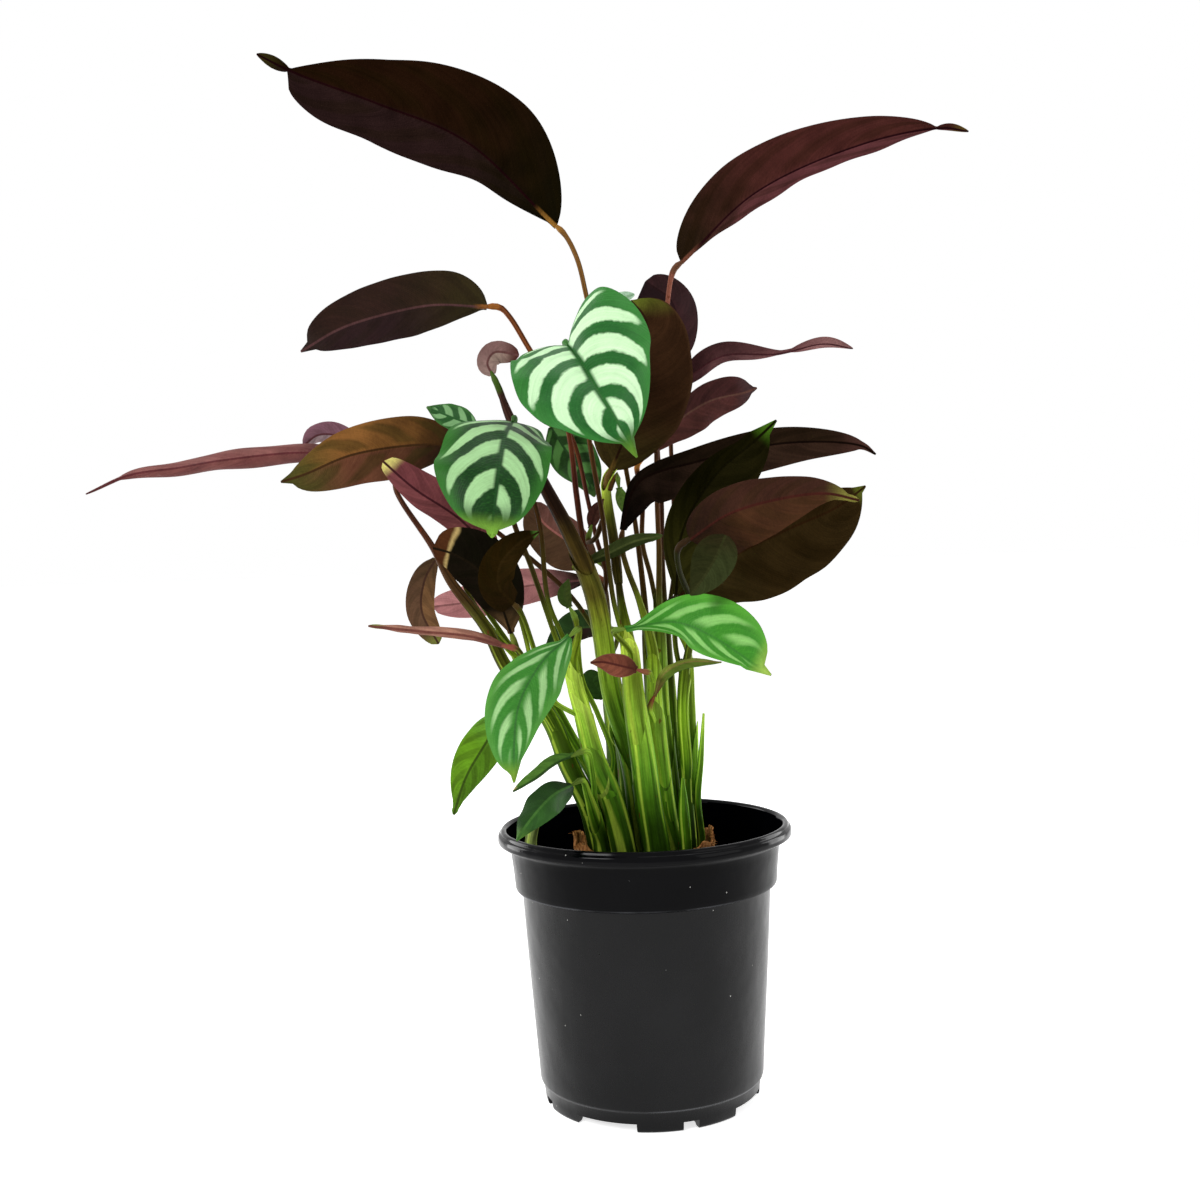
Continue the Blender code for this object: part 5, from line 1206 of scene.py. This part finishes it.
def cut_notches(shell):
    """Drain notches in the corner of the foot."""
    cutters = bmesh.new()
    middle, depth = FOOT_RADIUS + (NOTCH_CLEAR - NOTCH_REACH) / 2, NOTCH_CLEAR + NOTCH_REACH
    for index in range(NOTCH_COUNT):
        bearing = math.radians(NOTCH_FIRST + index * 360 / NOTCH_COUNT - 90)
        spot = Matrix.Rotation(bearing, 4, "Z") @ Matrix.Translation((middle * MM, 0, 0))
        size = Matrix.Diagonal((depth * MM, NOTCH_WIDTHS[index % 2] * MM, 2 * NOTCH_HEIGHT * MM, 1))
        bmesh.ops.create_cube(cutters, size=1.0, matrix=spot @ size)
    cutter = plain_object("pot_notches", [], [])
    cutters.to_mesh(cutter.data)
    cutters.free()
    cut = shell.modifiers.new("notches", "BOOLEAN")
    cut.operation, cut.object, cut.solver = "DIFFERENCE", cutter, "EXACT"
    evaluated = shell.evaluated_get(bpy.context.evaluated_depsgraph_get())
    shell.data = bpy.data.meshes.new_from_object(evaluated)
    shell.modifiers.clear()
    bpy.data.objects.remove(cutter)


def pot_zone(face):
    """Which of the pot's paints a face takes."""
    radius, height = math.hypot(face.center.x, face.center.y) / MM, face.center.z / MM
    outward = face.normal.x * face.center.x + face.normal.y * face.center.y > 0
    if height > RIM_FOOT and radius > (BAND_REACH if outward else LIP_REACH):
        return RIM
    if not outward and height > FLOOR_TOP:
        return INSIDE
    return BAND if height > STEP_LEVEL else BODY


def make_pot():
    """The pot, with a paint for each of its zones."""
    shell = pot_shell()
    cut_notches(shell)
    shell.data.materials.clear()
    for row in POT_PAINTS:
        shell.data.materials.append(pot_paint(*row))
    for face in shell.data.polygons:
        face.material_index = pot_zone(face)
    smooth(shell.data, 38)
    settle(shell, "pot_plastic", "pot")


# ---------------------------------------------------------------- what fills the pot

PLUG_BOTTOM, PLUG_TOP = 62.0, 117.0
PLUG_FOOT_RADIUS, PLUG_TOP_RADIUS = 25.5, 31.5
PLUG_WALL, PLUG_FRAY = 2.6, 0.62   # thickness, and the share of it that the torn edge loses
PLUG_SIDES, PLUG_ROWS = 200, 44
TORN_HEIGHT, TORN_WAVES, TORN_DROP = 3.5, (2, 7), 1.4
STRAND_COUNT, STRAND_RADIUS, STRAND_SIDES, STRAND_RINGS = 150, 0.16, 5, 6
MIX_LEVEL, MIX_SIDES, MIX_ROWS = 88.0, 180, 24
MIX_BODY = ((0.0, 3.0), (43.0, 3.0), (46.6, 10.0), (49.4, 60.0))   # radius and height of its rings
MIX_WALL_RADIUS, CHIP_RADII = 50.3, (31.5, 49.0)
CROWN_PROFILE = ((0, 82.0), (18, 82.0), (22.3, 83.4), (23.6, 86), (23.2, 89), (21.6, 91.6),
                 (18.6, 92.8), (14, 93.0), (9, 93.1), (4, 93.0), (0, 92.8))
CROWN_ROWS, CROWN_SIDES = 48, 96
CROWN_RADIUS, CROWN_BOTTOM, CROWN_TOP = 23.6, 82, 93


def fibre_paint():
    """Rust-brown matted fibre, in dark and pale tangles."""
    paint = Paint("coir_fibre")
    place, _ = paint.place()
    tangle = paint.noise(paint.stretch(place, 1.0, 1.0, 0.45), 0.9, 6.0, 0.65)
    strands = paint.noise(paint.stretch(place, 2.0, 2.0, 0.4), 0.8, 5.0, 0.7)
    colour = paint.ramp(tangle, [(0.25, (48, 28, 14)), (0.42, (124, 78, 40)), (0.55, (182, 124, 72)),
                                 (0.75, (216, 170, 114))])
    colour = paint.dim(colour, paint.noise(place, 0.22, 3.0) * 1.1 + 0.4)
    paint.bump(tangle * 2.0 + strands, 0.5)
    return paint.finish(colour, 0.9)


def mix_paint():
    """Dark peat with paler crumbs."""
    paint = Paint("potting_mix")
    place, _ = paint.place()
    crumbs = paint.noise(place, 0.6, 6.0, 0.7)
    lumps = paint.noise(place, 0.14, 3.0)
    colour = paint.ramp(crumbs, [(0.3, (20, 13, 9)), (0.5, (48, 33, 23)), (0.66, (84, 60, 42)),
                                 (0.8, (124, 96, 70))])
    paint.bump(crumbs * 2.0 + lumps, 0.7)
    return paint.finish(paint.dim(colour, lumps * 0.9 + 0.55), 0.95)


def perlite_paint():
    """Off-white and rough."""
    paint = Paint("perlite")
    paint.bump(paint.noise(paint.place()[0], 1.5, 4.0), 0.4)
    return paint.finish((214, 210, 198), 0.9)


def crown_paint():
    """Brown, rough and blotched."""
    paint = Paint("rhizome")
    rough = paint.noise(paint.place()[0], 0.5, 5.0)
    paint.bump(rough, 0.6)
    stops = [(0.3, (52, 36, 22)), (0.6, (112, 84, 52)), (0.8, (140, 112, 70))]
    return paint.finish(paint.ramp(rough, stops), 0.8)


def make_plug(material):
    """A torn sleeve of matted fibre: crinkled wall, ragged top edge.  Gives the edge's heights."""
    rng = random.Random("plug")
    phases = [rng.uniform(0, TURN) for _ in range(6)]
    angles = circle(PLUG_SIDES)[None, :]
    share = np.linspace(0, 1, PLUG_ROWS)[:, None]
    torn = TORN_HEIGHT * (np.cos(TORN_WAVES[0] * angles) + 0.4 * np.sin(TORN_WAVES[1] * angles) - TORN_DROP)
    rag = 0.7 * np.sin(23 * angles + phases[0]) + 0.5 * np.sin(41 * angles + phases[1])
    top = PLUG_TOP + torn + rag * 0.8
    height = PLUG_BOTTOM + (top - PLUG_BOTTOM) * share
    radius = PLUG_FOOT_RADIUS + (PLUG_TOP_RADIUS - PLUG_FOOT_RADIUS) * share
    folds = (0.55 * np.sin(9 * angles + phases[2] + share * 2)
             + 0.4 * np.sin(17 * angles + phases[3] - share * 5)
             + 0.35 * np.sin(31 * angles + phases[4] + share * 9)
             + 0.3 * np.sin(share * 46 + 4 * np.sin(5 * angles + phases[5])))
    outer = radius + folds * (0.35 + 0.65 * share) - 0.2
    inner = outer - PLUG_WALL * (1 - PLUG_FRAY * share**3) + 0.3 * np.sin(27 * angles + share * 13)
    rings = np.concatenate([turned(angles, outer, height),
                            turned(angles, (outer[-1:] + inner[-1:]) / 2, height[-1:] + 0.3),
                            turned(angles, inner[::-1], height[::-1])])
    around = np.arange(PLUG_SIDES)
    after, last = (around + 1) % PLUG_SIDES, (len(rings) - 1) * PLUG_SIDES
    seam = np.stack([last + around, last + after, after, around], -1)
    faces = np.concatenate([grid_faces(len(rings), PLUG_SIDES, wrap=True), seam])
    settle(mesh_piece("plug_sleeve", rings.reshape(-1, 3), faces, [material]), "coir_fibre", "fibre_plug")
    return top[0]


def make_strands(material, top):
    """Loose fibres that stand out of the sleeve and its torn edge."""
    rng, bundle = random.Random("strands"), Bundle()
    angles = circle(STRAND_SIDES)
    for _ in range(STRAND_COUNT):
        bearing = rng.uniform(0, TURN)
        edge = top[int(bearing / TURN * PLUG_SIDES) % PLUG_SIDES]
        level = edge - abs(rng.gauss(0, 9))
        radius = PLUG_TOP_RADIUS - 0.6 - (edge - level) * 0.11
        out = np.array([math.cos(bearing), math.sin(bearing), 0.0])
        around = np.array([-out[1], out[0], 0.0])
        start = out * radius + np.array([0, 0, level])
        heading = unit(out * rng.uniform(0.1, 0.9) + around * rng.uniform(-1, 1)
                       + np.array([0, 0, rng.uniform(-0.5, 0.8)]))
        length = rng.uniform(2.0, 5.5)
        bend = around * rng.uniform(-1, 1) + np.array([0, 0, rng.uniform(-1.2, 0.2)])
        marks = np.linspace(0, 1, STRAND_RINGS)[:, None]
        spots = start - heading + heading * marks * length + bend * marks**2 * length * 0.4
        line = np.concatenate([spots, STRAND_RADIUS * (1 - 0.6 * marks)], 1)
        rings = ellipse_rings(line, line[:, 3], angles, 0.0, rng)
        bundle.add_rings(rings, angles, marks[:, 0], np.zeros(STRAND_RINGS), 0.5, material)
    settle(bundle.piece("plug_strands"), "coir_fibre", "fibre_plug")


def mix_height(radius, angle, phases):
    """Level of the lumpy surface between the sleeve and the wall."""
    lumps = (0.8 * np.sin(7 * angle + phases[0]) * np.sin(radius * 0.5 + phases[1])
             + 0.6 * np.sin(13 * angle + phases[2] + radius * 0.3)
             + 0.4 * np.sin(29 * angle + phases[3]) * np.sin(radius * 1.1 + phases[4]))
    return MIX_LEVEL - 0.6 + 0.8 * np.sin((radius - 31) / 20 * math.pi) + lumps * 0.7


def make_mix(material):
    """The filling: floor, wall and a lumpy top with the sleeve's hole down its middle."""
    rng = random.Random("mix")
    phases = [rng.uniform(0, 6.28) for _ in range(5)]
    angles = circle(MIX_SIDES)[None, :]
    sleeve_at_mix = (PLUG_FOOT_RADIUS + (PLUG_TOP_RADIUS - PLUG_FOOT_RADIUS)
                     * (MIX_LEVEL - PLUG_BOTTOM) / (PLUG_TOP - PLUG_BOTTOM))
    marks = np.linspace(MIX_WALL_RADIUS, sleeve_at_mix - 0.6, MIX_ROWS)[:, None]
    below = np.array(MIX_BODY)
    hole = np.array([(PLUG_FOOT_RADIUS - 0.4, PLUG_BOTTOM + 0.4), (0, PLUG_BOTTOM + 1.0)])
    rings = np.concatenate([turned(angles, below[:, :1], below[:, 1:]),
                            turned(angles, marks, mix_height(marks, angles, phases)),
                            turned(angles, hole[:, :1], hole[:, 1:])])
    body = mesh_piece("mix_body", rings.reshape(-1, 3), grid_faces(len(rings), MIX_SIDES, wrap=True),
                      [material])
    settle(body, "potting_mix", "potting_mix")
    return phases


def scatter(name, material, count, phases, size, flat, seed):
    """Chips strewn over the mix, each a squashed and tumbled block with its corners drawn in."""
    rng = random.Random(seed)
    build = bmesh.new()
    near, far = CHIP_RADII
    for _ in range(count):
        angle, radius = rng.uniform(0, TURN), math.sqrt(rng.uniform(near**2, far**2))
        level = float(mix_height(np.float64(radius), np.float64(angle), phases)) + 0.3
        spot = Matrix.Translation(Vector((radius * math.cos(angle), radius * math.sin(angle), level)) * MM)
        turn = Matrix.Rotation(rng.uniform(0, 6.28), 4, "Z") @ Matrix.Rotation(rng.gauss(0, 0.45), 4, "X")
        scale = [rng.uniform(*size) * MM for _ in range(2)] + [rng.uniform(*flat) * MM]
        made = bmesh.ops.create_icosphere(build, subdivisions=1, radius=1.0,
                                          matrix=spot @ turn @ Matrix.Diagonal((*scale, 1)))
        for vert in made["verts"]:
            vert.co += Vector([rng.gauss(0, 1) for _ in range(3)]) * scale[2] * 0.22
    mesh = bpy.data.meshes.new(name)
    build.to_mesh(mesh)
    build.free()
    mesh.materials.append(material)
    settle(show(name, mesh), "potting_mix", "potting_mix")


def make_crown(material):
    """The knobbly rhizome from which the shoots rise."""
    angles = circle(CROWN_SIDES)[None, :]
    fine = curve_through(CROWN_PROFILE, np.linspace(0, 1, CROWN_ROWS))
    radius, level = fine[:, :1], fine[:, 1:]
    reach = (np.clip(radius, 0, CROWN_RADIUS)
             * (1 + 0.015 * np.sin(9 * angles) + 0.012 * np.sin(17 * angles + 1)))
    bumps = 0.35 * np.sin(6 * angles + radius * 0.7) * np.sin(radius * 0.9)
    height = np.clip(level, CROWN_BOTTOM, CROWN_TOP) + bumps * np.clip(radius / 6, 0, 1)
    crown = mesh_piece("crown", turned(angles, reach, height).reshape(-1, 3),
                       grid_faces(CROWN_ROWS, CROWN_SIDES, wrap=True), [material])
    settle(crown, "rhizome", "rhizome_crown")


# ---------------------------------------------------------------- floor, world, lights, camera

# Lengths in metres, angles in degrees, power in watts.
FLOOR_HALF, FLOOR_DROP, FLOOR_GLOW = 15.0, 0.0002, 0.72
WORLD_LEVEL = 0.3
CAMERA_SPOT, CAMERA_PITCH, CAMERA_ROLL = (-0.0161, -0.6493, 0.2452), 2.177, -1.948
CAMERA_LENS, SENSOR, CLIP_START = 44.11, 36.0, 0.05
# name, place, height aimed at, width, height and power
LIGHTS = (("key", (-0.85, -1.0, 0.95), 0.26, 0.5, 0.5, 14.0),
          ("fill", (1.1, -0.7, 0.6), 0.25, 0.9, 0.9, 3.5),
          ("top", (0.1, 0.3, 1.4), 0.25, 0.9, 0.9, 6.0),
          ("left_edge", (-1.0, 0.55, 0.35), 0.2, 0.5, 0.8, 9.0),
          ("right_edge", (1.0, 0.55, 0.35), 0.2, 0.5, 0.8, 7.0))


def looks_past(paint):
    """1 for a ray from the camera, through glass or off a gloss, and 0 for light on the object."""
    rays = paint.add("ShaderNodeLightPath").outputs
    seen = paint.math("MAXIMUM", rays["Is Camera Ray"], rays["Is Transmission Ray"])
    return paint.math("MAXIMUM", seen, rays["Is Glossy Ray"])


def white_floor():
    """A white sheet that shows as pure white away from the object's shadow."""
    corners = [(-FLOOR_HALF, -FLOOR_HALF, 0), (FLOOR_HALF, -FLOOR_HALF, 0), (FLOOR_HALF, FLOOR_HALF, 0),
               (-FLOOR_HALF, FLOOR_HALF, 0)]
    floor = plain_object("floor", corners, [(0, 1, 2, 3)], scale=1)
    floor.location.z = -FLOOR_DROP
    paint = Paint("floor_white")
    paint.feed(paint.shader, {"Base Color": (0.9, 0.9, 0.9, 1), "Roughness": 0.9})
    glow = paint.add("ShaderNodeEmission", {"Color": (1, 1, 1, 1),
                                            "Strength": looks_past(paint) * FLOOR_GLOW})
    lit = paint.add("ShaderNodeAddShader", {0: paint.shader.outputs[0], 1: glow.outputs[0]})
    paint.feed(paint.tree.nodes["Material Output"], {"Surface": lit.outputs[0]})
    floor.data.materials.append(paint.owner)


def white_world():
    """Even soft light, and pure white where the camera, a gloss or glass sees past the object."""
    world = bpy.data.worlds.new("white")
    bpy.context.scene.world = world
    paint = Paint("white", world)
    level = paint.add("ShaderNodeMapRange", {"To Min": WORLD_LEVEL, "To Max": 1.0,
                                             "Value": looks_past(paint)})
    paint.feed(paint.shader, {"Color": (1, 1, 1, 1), "Strength": level.outputs[0]})


def soft_light(name, spot, aim_height, width, height, power):
    """A rectangular light turned to a point on the pot's axis."""
    data = bpy.data.lights.new(name, "AREA")
    data.shape = "RECTANGLE"
    data.size, data.size_y, data.energy = width, height, power
    lamp = show(name, data)
    lamp.location = spot
    lamp.rotation_euler = (Vector((0, 0, aim_height)) - Vector(spot)).to_track_quat("-Z", "Y").to_euler()


def add_camera():
    """The camera fitted to the ellipses of the pot in the photo."""
    data = bpy.data.cameras.new("camera")
    data.sensor_width, data.lens, data.clip_start = SENSOR, CAMERA_LENS, CLIP_START
    camera = show("camera", data)
    camera.matrix_world = (Matrix.Translation(CAMERA_SPOT)
                           @ Matrix.Rotation(math.radians(90 - CAMERA_PITCH), 4, "X")
                           @ Matrix.Rotation(math.radians(CAMERA_ROLL), 4, "Z"))
    bpy.context.scene.camera = camera


# ---------------------------------------------------------------- build

for leaf_item in LEAVES.items():
    make_leaf(*leaf_item)
for shoot_name in SHOOTS:
    make_shoot(shoot_name)
for spear_name, spear_points in SPEARS.items():
    make_spear(spear_name, spear_points, LIME, spear_name)
make_spear("sprout_side", SPROUT, PALE)
make_pot()
fibre = fibre_paint()
make_strands(fibre, make_plug(fibre))
peat = mix_paint()
mix_phases = make_mix(peat)
scatter("mix_chips", peat, 380, mix_phases, (0.9, 2.6), (0.4, 1.0), "chips")
scatter("mix_perlite", perlite_paint(), 60, mix_phases, (0.6, 1.3), (0.5, 1.0), "perlite")
make_crown(crown_paint())

white_floor()
white_world()
for light in LIGHTS:
    soft_light(*light)
add_camera()
bpy.context.scene.view_settings.view_transform = "Standard"
